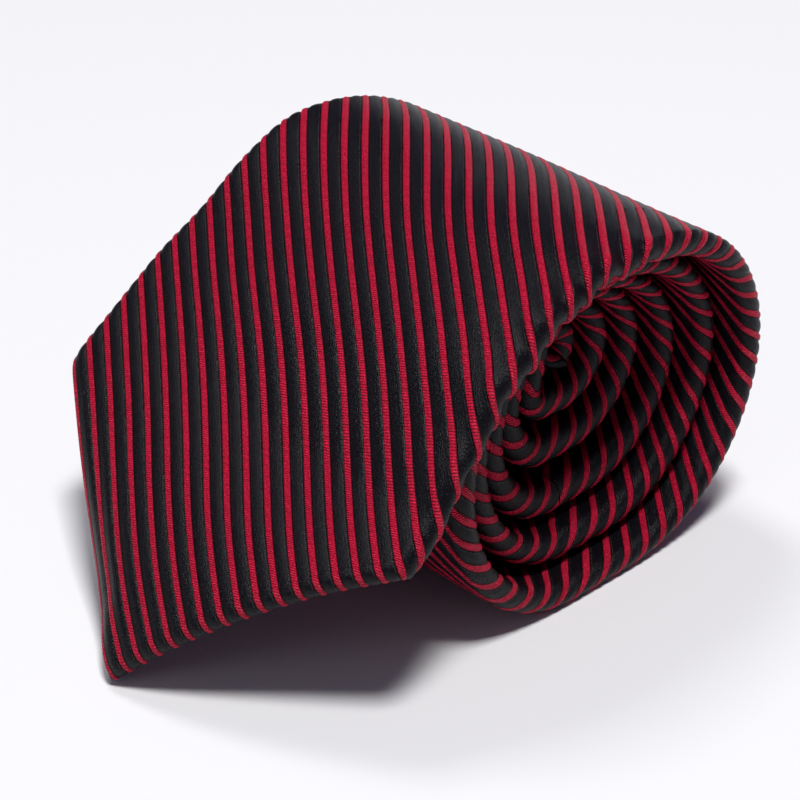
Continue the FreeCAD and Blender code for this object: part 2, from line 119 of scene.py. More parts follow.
class TieRoll(bpy.types.PropertyGroup):
    """How the tie is rolled up and how its blade end leans."""

    crest: length("Crest", "Height of the roll", ROLL_HIGH.z - ROLL_LOW.z)
    left_radius: length("Left radius", "Radius of the first turn under the flap", 0.0285)
    pitch: length("Pitch", "Spacing from one turn to the next", 0.0058)
    turns: bpy.props.IntProperty(name="Turns", description="Turns from the crest to the core", default=6)
    rest_run: length("Rest run", "Flat stretch under the first turn", 0.012)
    run_ratio: share_of("Run ratio", "How long the flat is in each turn, as a share of the one before", 0.72)
    drift: length("Centre drift", "How far the turns move to one side, per turn", 0.0008)
    core_angle: turn("Core angle", "How far past its top the last turn goes", 140)
    leave_angle: turn("Leave angle", "Slope at which the flap leaves the roll", 37)
    lean_angle: turn("Lean angle", "Slope of the flap at its point", 44)
    flap_radius: length("Flap radius", "Bend of the flap's upper half", 0.2)
    blade_thick: length("Blade thickness", "Thickness of the folded blade at its middle", 0.0029)
    tail_thick: length("Tail thickness", "Thickness of the folded tail", 0.0017)
    turn_thick: length("Turn thickness", "The blade, the tail and their clearance in one turn", 0.0049)


class TieCloth(bpy.types.PropertyGroup):
    """The striped satin and the plain cloths."""

    stripe: length("Stripe repeat", "Distance from one red rib to the next, across the ribs", 0.0037)
    red_share: share_of("Red share", "Share of the repeat that is the red rib", 0.36)
    red_relief: length("Red rib height", "How far the red rib stands up", 0.00042)
    black_relief: length("Black rib height", "How far the black rib stands up", 0.00038)
    red: colour("Red", "The red yarn", (0.45, 0.0025, 0.022))
    black: colour("Black", "The black satin", (0.0028, 0.0026, 0.0042))
    lining: colour("Lining", "The tipping cloth", (0.007, 0.007, 0.009))
    wool: colour("Wool", "The interlining", (0.62, 0.58, 0.48))
    thread: colour("Thread", "The sewing thread", (0.01, 0.01, 0.012))
    label: colour("Label", "The blank label and the care tag", (0.02, 0.02, 0.024))


class TieStudio(bpy.types.PropertyGroup):
    """The camera, the floor and the lamps."""

    azimuth: turn("Azimuth", "Direction from which the camera looks", -44.4)
    elevation: turn("Elevation", "Camera's height above the horizon", 32.1)
    distance: length("Distance", "Camera's distance from what it looks at", 0.4656)
    target: bpy.props.FloatVectorProperty(name="Target", description="The point that the camera looks at",
                                          default=(-0.01146, 0.0, 0.02645), subtype="XYZ", unit="LENGTH")
    lens: bpy.props.FloatProperty(name="Lens", description="Focal length in millimetres", default=117.9)
    floor: colour("Floor", "The pale floor", (0.83, 0.83, 0.845))


def mm(value):
    """A length property in millimetres, which the geometry below is worked out in."""
    return value / MM


# ---------------------------------------------------------------------------
# The path that the cloth follows, and where it settles.
# ---------------------------------------------------------------------------


class ClothPath:
    """Straight runs and arcs laid end to end in the XZ plane, read at any length along them."""

    def __init__(self, x, z, heading, steps):
        starts = []
        begun = 0.0
        for run, radius, side in steps:
            bend = 0.0 if radius is None else side / radius
            starts.append((begun, x, z, heading, bend))
            begun += run
            x, z, heading = self.beyond(run, x, z, heading, bend)
        self.end = (x, z, heading)
        self.length = begun
        self.table = np.array(starts)

    @staticmethod
    def beyond(rest, x, z, heading, bend):
        """Where a stretch has got to, a length past its start."""
        bent = np.abs(bend) > 0
        safe = np.where(bent, bend, 1.0)
        turned = heading - bend * rest
        arc_x = (np.sin(heading) - np.sin(turned)) / safe
        arc_z = (np.cos(turned) - np.cos(heading)) / safe
        return (x + np.where(bent, arc_x, np.cos(heading) * rest),
                z + np.where(bent, arc_z, np.sin(heading) * rest), turned)

    def at(self, along):
        """x, z and heading at each length along the path."""
        along = np.asarray(along, float)
        row = np.clip(np.searchsorted(self.table[:, 0], along, side="right") - 1, 0, len(self.table) - 1)
        begun, x, z, heading, bend = np.moveaxis(self.table[row], -1, 0)
        return self.beyond(along - begun, x, z, heading, bend)


def eased(x, knots):
    """A smooth curve through a few (x, value) knots, level beyond its ends."""
    at, value = np.array(knots, float).T
    slope = np.gradient(value, at)
    slope[0] = slope[-1] = 0.0
    x = np.clip(x, at[0], at[-1])
    row = np.clip(np.searchsorted(at, x, side="right") - 1, 0, len(at) - 2)
    gap = at[row + 1] - at[row]
    u = (x - at[row]) / gap
    start = value[row] * (1 + 2 * u) * (1 - u) ** 2 + slope[row] * gap * u * (1 - u) ** 2
    finish = value[row + 1] * u * u * (3 - 2 * u) + slope[row + 1] * gap * u * u * (u - 1)
    return start + finish


def step_up(x, low, high):
    """0 below low, 1 above high and smooth between."""
    u = np.clip((x - low) / (high - low), 0, 1)
    return u * u * (3 - 2 * u)


class RolledTie:
    """The tie's paths in millimetres, worked out the same way as the CAD model's, and how its cloth settles.
    """

    # How far the top of the roll and the flap stand above or below the even
    # shape, as a share of their height, at each x along the near and the far edge.
    NEAR_TOP = [(-85, 0), (-68, 0.06), (-60, 0.06), (-50, 0.0), (-45, -0.01), (-40, 0.05),
                (-33, 0.105), (-22, 0.095), (-12, 0.045), (2, -0.022), (20, -0.045), (42, -0.035)]
    FAR_TOP = [(-85, 0), (-66, 0.04), (-52, 0.09), (-43, 0.03), (-32, -0.03), (-20, -0.095),
               (-9, -0.10), (0, -0.088), (10, -0.09), (24, -0.08), (42, -0.03)]
    # How far the lower flap bulges outward, by length above the point.
    BULGE = [(-6, -2.2), (0, 0), (9, 2.9), (20, 4.6), (31, 4.2), (43, 2.2), (55, 0.6), (70, 0)]
    # How far the cloth slides towards the point where the flap is bowed, by length above the point.
    SLIDE = [(0, 0), (20, 0.7), (42, 2.0), (66, 1.2), (95, 0)]
    # The inner turns stand higher than even ones: their middle, their reach and how far they move.
    SWIRL_X, SWIRL_Z, SWIRL_REACH = 3, 35, 31
    SWIRL_LIFT, SWIRL_SHIFT = 8.0, 1.0
    BACK_SLIP = 1.3                # how far the near side of the roll's back slips forward
    PUCKER_REACH = 6.5             # how far the puckers along the near edge reach in
    PUCKER_STRETCH = (46, 58, 104, 122)        # where they begin, are full, begin to fade and are gone
    TUCK = 2.4                     # how far the far edge of the point curls in
    LOOSE_FROM = (240, 290)        # where the turns begin to wander

    def __init__(self, cut, roll):
        self.half = mm(cut.blade_width) / 2
        self.core_half = mm(cut.core_width) / 2
        self.tail_half = mm(cut.tail_width) / 2
        self.blade_thick, self.tail_thick = mm(roll.blade_thick), mm(roll.tail_thick)
        self.turn_thick = mm(roll.turn_thick)
        radius, left, pitch = mm(roll.crest) / 2, mm(roll.left_radius), mm(roll.pitch)
        bends = []
        for turn in range(roll.turns):
            right_x = mm(roll.rest_run) / 2 - mm(roll.drift) * turn
            bends.append((right_x, radius, radius - pitch * turn))
            bends.append((right_x - mm(roll.rest_run) * roll.run_ratio ** turn, left, left - pitch * turn))
        self.bends = bends[:-1]
        self.lay_blade(roll, radius)
        self.lay_tail()

    def lay_blade(self, roll, radius):
        """The flap from its point, then the turns in to the core."""
        leave, lean, flap_radius = roll.leave_angle, roll.lean_angle, mm(roll.flap_radius)
        tip_z = self.blade_thick * math.cos(lean)
        bend_rise = flap_radius * (math.cos(leave) - math.cos(lean))
        bend_reach = flap_radius * (math.sin(lean) - math.sin(leave))
        straight = (2 * radius - radius * (1 - math.cos(leave)) - bend_rise - tip_z) / math.sin(lean)
        tip_x = self.bends[0][0] - radius * math.sin(leave) - bend_reach - straight * math.cos(lean)
        steps = [(straight, None, 1), (flap_radius * (lean - leave), flap_radius, 1)]
        self.flap_long = steps[0][0] + steps[1][0]
        self.turned, self.runs, self.marks = [], [], []
        heading, begun = leave, self.flap_long
        for index, bend in enumerate(self.bends):
            self.marks.append(begun)
            if index + 1 == len(self.bends):
                turned, run = heading + roll.core_angle, None
            elif index % 2 == 0:
                turned, run, heading = heading + math.pi, bend[0] - self.bends[index + 1][0], -math.pi
            else:
                heading, run = self.tangent_run(bend, self.bends[index + 1])
                turned = math.pi - heading
            self.turned.append(turned)
            self.runs.append(run)
            steps.append((turned * bend[2], bend[2], 1))
            begun += turned * bend[2]
            if run is not None:
                steps.append((run, None, 1))
                begun += run
        self.blade_path = ClothPath(tip_x, tip_z, lean, steps)

    @staticmethod
    def tangent_run(near, far):
        """Heading and length of the straight run from one bend to the next."""
        across, up = far[0] - near[0], far[1] - near[1]
        apart = math.hypot(across, up)
        run = math.sqrt(apart ** 2 - (far[2] - near[2]) ** 2)
        return math.atan2(up, across) + math.asin((far[2] - near[2]) / apart), run

    def lay_tail(self):
        """The fold at the core, then the tail going back out between the turns."""
        fold = self.turn_thick / 2
        self.fold_path = ClothPath(*self.blade_path.end, [(math.pi * fold, fold, 1)])
        steps = []
        for index in range(len(self.bends) - 1, 0, -1):
            radius = self.bends[index][2] - self.turn_thick
            steps.append((self.turned[index] * radius, radius, -1))
            if index > 1:
                steps.append((self.runs[index - 1], None, -1))
        self.tail_path = ClothPath(*self.fold_path.end, steps)
        self.tail_steps = [step[0] for step in steps]

    def half_width(self, along):
        """Half of the blade's width at a length along the blade."""
        share = np.clip((along - self.flap_long) / (self.blade_path.length - self.flap_long), 0, 1)
        return self.half - share * (self.half - self.core_half)

    def fold_half_width(self, along):
        """Half of the cloth's width where it turns back, narrowing from the neck's to the tail's."""
        narrowing = (self.tail_half - self.core_half) * np.asarray(along) / self.fold_path.length
        return self.core_half + narrowing

    def tail_half_width(self, along):
        """Half of the tail's width, which is the same all along."""
        return self.tail_half + 0 * np.asarray(along)

    def flap_half_width(self, along):
        """Half of the flap's width, which is the same up to the roll."""
        return self.half + 0 * np.asarray(along)

    def settle(self, x, y, z):
        """Where a point of the even roll lies once the cloth has settled, in metres."""
        side = step_up(y, -self.half - 2, self.half + 2)
        share = eased(x, self.NEAR_TOP) * (1 - side) + eased(x, self.FAR_TOP) * side
        inward = np.clip(1 - ((x - self.SWIRL_X) / self.SWIRL_REACH) ** 2
                         - ((z - self.SWIRL_Z) / self.SWIRL_REACH) ** 2, 0, 1) ** 2
        slip = self.BACK_SLIP * (1 - side) * step_up(x, 15, 41)
        x, z = x + self.SWIRL_SHIFT * inward - slip, z + self.SWIRL_LIFT * inward
        sway = 0.5 * np.sin(y / 17.0 + 0.6) * step_up(z, 4, 30)
        return np.stack([x + sway, y, z * (1 + share)], -1) * MM

    def rise(self, along, across):
        """How far the flap's cloth stands out from the even path."""
        bulge = self.bulge(along, across)
        return bulge + self.puckers(along, across) - self.tip_tuck(along, across) + self.swell(along, across)

    def bulge(self, along, across):
        """The lower flap's bow, which is less towards its edges and least on the far one."""
        bow = eased(along, self.BULGE) * (1 - 0.45 * np.clip(np.abs(across) / self.half, 0, 1.2) ** 3)
        out = np.clip(across / np.clip(along, 4, None), 0, 1)
        return bow * (1 - 0.38 * step_up(across, -5, 5) * out ** 4)

    def puckers(self, along, across):
        """Small gathers along the near edge, where the flap leaves the roll."""
        gathers = 0.55 * np.sin(along / 2.15 + 0.5 * np.sin(along / 9.0))
        gathers = gathers + 0.6 * np.sin((along - across) * 1.2)
        begun, full, fading, gone = self.PUCKER_STRETCH
        near = np.exp(-(self.half_width(along) + across) / self.PUCKER_REACH)
        return gathers * near * (step_up(along, begun, full) * (1 - step_up(along, fading, gone)))

    def tip_tuck(self, along, across):
        """The curl of the point's far edge."""
        curl = self.TUCK * np.exp(-((along - across) / 7.0) ** 2) * np.exp(-((along - 13) / 11.0) ** 2)
        return curl * step_up(across, 0, 8)

    @staticmethod
    def swell(along, across):
        """The loose cloth's long, low waves, which are gone once it lies on the roll."""
        waves = 0.28 * np.sin(along / 11.0 + across / 13.0) + 0.22 * np.sin(along / 17.0 - across / 8.0)
        return waves * (1 - step_up(along, 100, 150))

    def wander(self, along):
        """How far the turns wander from an even spacing."""
        loose = 0.32 * np.sin(along / 23.0) + 0.22 * np.sin(along / 9.7 + 1.3)
        return loose * step_up(along, *self.LOOSE_FROM)

    def on_blade(self, along, depth, across):
        """A point of the blade or neck: a depth below its face, in metres."""
        x, z, heading = self.blade_path.at(along - eased(along, self.SLIDE))
        depth = depth - self.rise(along, across) - self.wander(along)
        return self.settle(x + np.sin(heading) * depth, across, z - np.cos(heading) * depth)

    def on_fold(self, along, depth, across):
        """A point of the cloth that turns back at the core."""
        return self.on_even(self.fold_path, along, depth, across)

    def on_tail(self, along, depth, across):
        """A point of the tail: a depth behind its face."""
        return self.on_even(self.tail_path, along, depth, across)

    def from_tail_point(self, along, depth, across):
        """A point of the tail, by its length from the tail's point."""
        return self.on_tail(self.tail_path.length - along, depth, across)

    def on_even(self, path, along, depth, across):
        """A point a depth behind a path that doesn't wander, in metres."""
        x, z, heading = path.at(along)
        return self.settle(x + np.sin(heading) * depth, across, z - np.cos(heading) * depth)


# ---------------------------------------------------------------------------
# Meshes.
# ---------------------------------------------------------------------------

WELD = 1e-7                    # points nearer than this, in metres, become one
THREAD = 0.14 * MM             # radius of the sewing thread
STOUT_THREAD = 0.15 * MM       # the same on the tipping and the keeper loop
FINE_THREAD = 0.13 * MM        # the same on the label
LIP_RADIUS = 0.35              # radius to which a wing's lip is turned in, in millimetres
LIP_MARKS = (0, 0.2, 0.4, 0.65, 0.9, 1.1, 2.6)      # where the lip is divided; the last is its end
PLUMP_FROM, PLUMP_TO = 16, 3   # the wings rise to the soft edge between these distances from the side
NEAR_SIDE = 12.0               # how far in from the side a folded cloth is divided finely
CORNER = 0.7                   # how far the corners of a point are rounded off
ROOT_HALF = math.sqrt(0.5)


def quads_of(rows, cols):
    """Corner numbers of a grid's faces."""
    at = np.arange(rows * cols).reshape(rows, cols)
    return np.stack([at[:-1, :-1], at[1:, :-1], at[1:, 1:], at[:-1, 1:]], -1).reshape(-1, 4)


def make_piece(name, parts, material):
    """One object from (points, quads, cloth coordinates) parts, joined where they meet and smooth shaded."""
    points, quads, cloth = zip(*parts)
    points = [grid.reshape(-1, 3) for grid in points]
    starts = np.cumsum([0] + [len(grid) for grid in points[:-1]])
    points = np.concatenate(points)
    quads = np.concatenate([faces + start for faces, start in zip(quads, starts)])
    cloth = np.concatenate([grid.reshape(-1, 2) for grid in cloth])
    used = np.unique(quads)
    renumber = np.zeros(len(points), int)
    renumber[used] = np.arange(len(used))
    points, cloth, quads = points[used], cloth[used], renumber[quads]
    mesh = bpy.data.meshes.new(name)
    mesh.vertices.add(len(points))
    mesh.vertices.foreach_set("co", points.astype(np.float32).ravel())
    mesh.loops.add(quads.size)
    mesh.loops.foreach_set("vertex_index", quads.astype(np.int32).ravel())
    mesh.polygons.add(len(quads))
    mesh.polygons.foreach_set("loop_start", np.arange(0, quads.size, 4, dtype=np.int32))
    mesh.update(calc_edges=True)
    mesh.polygons.foreach_set("use_smooth", np.ones(len(quads), bool))
    flat = np.zeros((len(cloth), 3), np.float32)
    flat[:, :2] = cloth
    mesh.attributes.new("cloth", "FLOAT_VECTOR", "POINT").data.foreach_set("vector", flat.ravel())
    joined = bmesh.new()
    joined.from_mesh(mesh)
    bmesh.ops.remove_doubles(joined, verts=joined.verts, dist=WELD)
    joined.to_mesh(mesh)
    joined.free()
    mesh.materials.append(material)
    obj = bpy.data.objects.new(name, mesh)
    bpy.context.scene.collection.objects.link(obj)
    return obj


def raised(points, height):
    """A grid of points moved out along its own normals by a height in millimetres."""
    down = np.gradient(points, axis=0)
    over = np.gradient(points, axis=1)
    normal = np.cross(down, over)
    size = np.linalg.norm(normal, axis=-1, keepdims=True)
    return points + normal / np.maximum(size, 1e-12) * (height * MM)[..., None]


def rib_height(cloth, s, t):
    """How far the ribs stand up at a place on the cloth."""
    period = mm(cloth.stripe) * math.sqrt(2)
    phase = np.mod((s - t) / period, 1.0)
    red = cloth.red_share
    on_red = phase < red
    share = np.where(on_red, phase / red, (phase - red) / (1 - red))
    top = np.where(on_red, mm(cloth.red_relief), mm(cloth.black_relief))
    return top * np.sqrt(np.clip(np.sin(np.pi * share), 0, 1))


def fold_section(reach, half, edge, thick, lip):
    """Across and depth for a cloth that is folded round at half width, by distance from its centre line.

    The cloth lies flat as the face, turns round the soft edge, comes back as a
    wing and is turned in at the lip.
    """
    flat = half - edge
    angle = np.clip((reach - flat) / edge, 0, math.pi)
    back = np.clip(reach - flat - math.pi * edge, 0, None)
    across = np.where(reach < flat, reach, flat + edge * np.sin(angle) - back)
    wing = thick + (2 * edge - thick) * step_up(across, half - PLUMP_FROM, half - PLUMP_TO)
    depth = np.where(back > 0, wing, edge * (1 - np.cos(angle)))
    past_lip = np.where(back > 0, np.clip(lip - across, 0, None), 0)
    tuck = np.clip(past_lip / LIP_RADIUS, 0, math.pi)
    gone = np.clip(past_lip - LIP_RADIUS * math.pi, 0, None)
    across = np.where(past_lip > 0, lip - LIP_RADIUS * np.sin(tuck) + gone, across)
    return across, depth - LIP_RADIUS * (1 - np.cos(tuck))


def reach_steps(half, edge, lip, face_step, fine_step, coarse_step):
    """Distances from the centre line at which a folded cloth is divided, from the face round to the lip."""
    flat = half - edge
    wrap = math.pi * edge
    near = min(NEAR_SIDE, flat / 3)
    return np.concatenate([
        np.arange(0, flat - near, face_step),
        np.arange(flat - near, flat, fine_step),
        flat + np.arange(0, wrap, fine_step),
        flat + wrap + np.arange(0, near, fine_step),
        flat + wrap + np.arange(near, flat - lip, coarse_step),
        2 * flat + wrap - lip + np.array(LIP_MARKS)])


def folded_cloth(place, cloth, rows, half_at, edge, thick, lip, steps, shift=0.0):
    """A cloth folded round both sides, along the given rows; steps are laid out for its first row."""
    flat_ref, wrap = half_at(rows[0]) - edge, math.pi * edge
    s = rows[:, None] * np.ones(2 * len(steps) - 1)
    side = np.sign(np.arange(2 * len(steps) - 1) - (len(steps) - 1))
    ref = np.concatenate([steps[:0:-1], steps])[None, :] * np.ones((len(rows), 1))
    half = half_at(s)
    flat = half - edge
    face = np.clip(ref, 0, flat_ref) * flat / flat_ref
    round_part = np.clip(ref - flat_ref, 0, wrap)
    wing_ref = np.clip(ref - flat_ref - wrap, 0, flat_ref - lip)
    past = np.clip(ref - 2 * flat_ref - wrap + lip, 0, None)
    reach = face + round_part + wing_ref * (flat - lip) / (flat_ref - lip) + past
    across, depth = fold_section(reach, half, edge, thick, lip)
    t = side * reach
    points = raised(place(s, depth, side * across), rib_height(cloth, s + shift, t))
    return points, quads_of(*s.shape), np.stack([s + shift, t], -1)


def nearest_edge(s, t, flat, side_edge, point_edge):
    """How far each place lies inside the nearest edge, that edge's radius, the way in and if it's a side.

    Near a corner the two edges are blended, which rounds the corner off.
    """
    inside = np.stack([flat - t, flat + t,
                       (s - t) * ROOT_HALF - point_edge, (s + t) * ROOT_HALF - point_edge])
    low = inside.min(0)
    weight = np.exp(-(inside - low) / CORNER)
    total = weight.sum(0)
    deep = low - CORNER * np.log(total)
    weight /= total
    edge = side_edge * (weight[0] + weight[1]) + point_edge * (weight[2] + weight[3])
    in_s = ROOT_HALF * (weight[2] + weight[3])
    in_t = -weight[0] + weight[1] - ROOT_HALF * weight[2] + ROOT_HALF * weight[3]
    size = np.maximum(np.hypot(in_s, in_t), 1e-9)
    by_side = np.minimum(inside[0], inside[1]) < np.minimum(inside[2], inside[3])
    return deep, edge, in_s / size, in_t / size, by_side


def pointed_cloth(place, cloth, long_to, half_at, side_edge, point_edge, thick, hem, apex, lip, step,
                  shift=0.0):
    """A pointed end: face, soft edges, hems along the point and wings that meet above the apex.

    The cloth is a square lattice whose diagonals follow both the ribs and the
    edges of the point. It starts ahead of the point and is folded in there.
    """
    half = float(half_at(0))
    cols = int((2 * half + math.pi * side_edge) / step) + 2
    first = -int(12 / step)
    s = (np.arange(first, int(round(long_to / step)) + 1) * step)[:, None] * np.ones(2 * cols + 1)
    s[-1, :] = long_to
    t = (np.arange(-cols, cols + 1) * step)[None, :] * np.ones((s.shape[0], 1))
    deep, edge, in_s, in_t, by_side = nearest_edge(s, t, half_at(s) - side_edge, side_edge, point_edge)
    beyond = np.clip(-deep, 0, None)
    angle = np.clip(beyond / edge, 0, math.pi)
    back = np.clip(beyond - math.pi * edge, 0, None)
    drawn = np.where(back > 0, beyond + back, beyond - edge * np.sin(angle))
    along, across = s + in_s * drawn, t + in_t * drawn
    # The wings end along a line from the hem up to the lip at the apex, and the hems at their width.
    mirror, folded_to = np.where(t < 0, -1.0, 1.0), across
    out = mirror * across
    wide = half - hem
    slope = wide / (apex - hem / ROOT_HALF - wide)
    limit = np.maximum(lip, slope * (apex - along))
    excess = np.where(by_side, (limit - out) / math.hypot(1, slope), beyond - math.pi * edge - hem)
    excess = np.where(back > 0, excess, -1.0)
    plump = step_up(out, half - PLUMP_FROM, half - PLUMP_TO)
    wing = thick + (2 * side_edge - thick) * plump * step_up(along, half, half + 14)
    rim = np.where(by_side, wing, np.maximum(2 * point_edge, thick))
    depth = np.where(back > 0, rim + (2 * edge - rim) * np.exp(-back / 2.0), edge * (1 - np.cos(angle)))
    # What lies past those lines is laid back on them and turned in, to end the cloth cleanly.
    over = np.clip(excess, 0, None)
    across = np.where(by_side & (over > 0), mirror * limit, across - in_t * np.where(by_side, 0, over))
    along = along - in_s * np.where(by_side, 0, over)
    depth = depth - np.minimum(over, 0.55)
    height = rib_height(cloth, s + shift, t) * np.where(over > 0, 0, 1)
    points = raised(place(along, depth, across), height)
    quads = quads_of(*s.shape)
    crossed = (beyond > 0) & (mirror * folded_to < -0.15) | (s < -1.8 * hem)
    keep = ~(excess > 0).ravel()[quads].all(1) & ~crossed.ravel()[quads].any(1)
    return points, quads[keep], np.stack([s + shift, t], -1)


def capped(points, coords):
    """The parts of a tube of rings, closed at both ends."""
    parts = [(points, quads_of(*points.shape[:2]), coords)]
    for row in (0, -1):
        middle = np.repeat(points[row].mean(0)[None, :], points.shape[1], 0)
        pair = np.stack([points[row], middle] if row == -1 else [middle, points[row]])
        parts.append((pair, quads_of(*pair.shape[:2]), np.stack([coords[row], coords[row]])))
    return parts


def slab(place, rows, half_at, margin, faces, columns=24, point=False):
    """A closed ribbon between two depths, with rounded edges, for the interlining."""
    low, high = faces
    round_off = (high - low) / 2
    angle = np.linspace(0, math.pi, 5)[1:-1]
    share = np.linspace(-1, 1, columns)
    level, edge = np.zeros(columns), np.ones(len(angle))
    ring_y = np.concatenate([share, edge, share[::-1], -edge, share[:1]])
    ring_out = np.concatenate([level, np.sin(angle), level, -np.sin(angle), level[:1]]) * round_off
    curve = round_off * (1 - np.cos(angle))
    ring_d = np.concatenate([level + low, low + curve, level + high, high - curve, level[:1] + low])
    s = rows[:, None] * np.ones(len(ring_y))
    half = half_at(s) - margin - round_off
    if point:
        half = np.minimum(half, np.maximum(s - rows[0], 0) + 0.3)
    y = ring_y * half + ring_out
    d = ring_d * np.ones(s.shape)
    return capped(place(s, d, y), np.stack([s, y + d], -1))


def strand(start, end, radius, bow=(0.0, 0.0, 0.0)):
    """A short length of thread between two points in metres, bowed in the middle and rounded at its ends."""
    bow = np.array(bow)
    run = end - start
    size = np.linalg.norm(run)
    ahead = run / size
    aside = np.cross(ahead, (0.31, 0.52, 0.79))
    aside /= np.linalg.norm(aside)
    above = np.cross(ahead, aside)
    share = np.concatenate([[0, 0.02], np.linspace(0.08, 0.92, 3), [0.98, 1]])
    fat = radius * np.sqrt(np.clip(1 - np.abs(2 * share - 1) ** 8, 0.0001, 1))
    turned = np.linspace(0, 2 * math.pi, 9)
    spine = start + share[:, None] * run + bow * (4 * share * (1 - share))[:, None]
    ring = np.cos(turned)[:, None] * aside + np.sin(turned)[:, None] * above
    points = spine[:, None, :] + fat[:, None, None] * ring[None]
    around = np.stack(np.broadcast_arrays(share[:, None] * size / MM, turned[None] * radius / MM), -1)
    return points, quads_of(*points.shape[:2]), around


# ---------------------------------------------------------------------------
# Materials.
# ---------------------------------------------------------------------------


class Finish:
    """A material built from nodes, with short names for the common ones."""

    def __init__(self, name):
        self.material = bpy.data.materials.get(name) or bpy.data.materials.new(name)
        self.material.use_nodes = True
        self.tree = self.material.node_tree
        self.tree.nodes.clear()
        self.shader = self.tree.nodes.new("ShaderNodeBsdfPrincipled")
        output = self.tree.nodes.new("ShaderNodeOutputMaterial")
        self.tree.links.new(self.shader.outputs[0], output.inputs["Surface"])

    def feed(self, socket, value):
        """Set a socket to a number or colour, or link it."""
        if isinstance(value, bpy.types.NodeSocket):
            self.tree.links.new(value, socket)
        elif hasattr(value, "__len__") and len(value) == 3 and socket.type == "RGBA":
            socket.default_value = (*value, 1)
        else:
            socket.default_value = value

    def maths(self, operation, *values):
        node = self.tree.nodes.new("ShaderNodeMath")
        node.operation = operation
        for socket, value in zip(node.inputs, values):
            self.feed(socket, value)
        return node.outputs[0]

    def ramp(self, value, low, high, to_low=0.0, to_high=1.0):
        """A smooth step of a value from one range to another."""
        node = self.tree.nodes.new("ShaderNodeMapRange")
        node.interpolation_type = "SMOOTHSTEP"
        for socket, entry in zip(node.inputs[:5], (value, low, high, to_low, to_high)):
            self.feed(socket, entry)
        return node.outputs[0]

    def mix(self, factor, first, second):
        node = self.tree.nodes.new("ShaderNodeMix")
        node.data_type = "RGBA"
        self.feed(node.inputs["Factor"], factor)
        self.feed(node.inputs[6], first)
        self.feed(node.inputs[7], second)
        return node.outputs[2]

    def noise(self, vector, scale, detail=2.0, rough=0.5):
        node = self.tree.nodes.new("ShaderNodeTexNoise")
        self.feed(node.inputs["Vector"], vector)
        self.feed(node.inputs["Scale"], scale)
        self.feed(node.inputs["Detail"], detail)
        self.feed(node.inputs["Roughness"], rough)
        return node.outputs["Fac"]

    def random(self, value):
        """A number from 0 to 1 for each whole value."""
        node = self.tree.nodes.new("ShaderNodeTexWhiteNoise")
        node.noise_dimensions = "1D"
        self.feed(node.inputs["W"], value)
        return node.outputs["Value"]

    def vector(self, x, y, z=0.0):
        node = self.tree.nodes.new("ShaderNodeCombineXYZ")
        for socket, value in zip(node.inputs, (x, y, z)):
            self.feed(socket, value)
        return node.outputs[0]

    def cloth_place(self):
        """Lengths along and across the cut cloth, in millimetres."""
        attribute = self.tree.nodes.new("ShaderNodeAttribute")
        attribute.attribute_name = "cloth"
        parts = self.tree.nodes.new("ShaderNodeSeparateXYZ")
        self.tree.links.new(attribute.outputs["Vector"], parts.inputs[0])
        return parts.outputs[0], parts.outputs[1]

    def bump(self, height, distance, strength):
        node = self.tree.nodes.new("ShaderNodeBump")
        node.inputs["Strength"].default_value = strength
        node.inputs["Distance"].default_value = distance
        self.feed(node.inputs["Height"], height)
        self.tree.links.new(node.outputs[0], self.shader.inputs["Normal"])

    def surface(self, **values):
        """Set the shader's sockets by name, with underscores for spaces."""
        for name, value in values.items():
            self.feed(self.shader.inputs[name.replace("_", " ")], value)
        return self.material


CORD_PITCH = 0.46              # spacing of the cords on the red rib, in millimetres


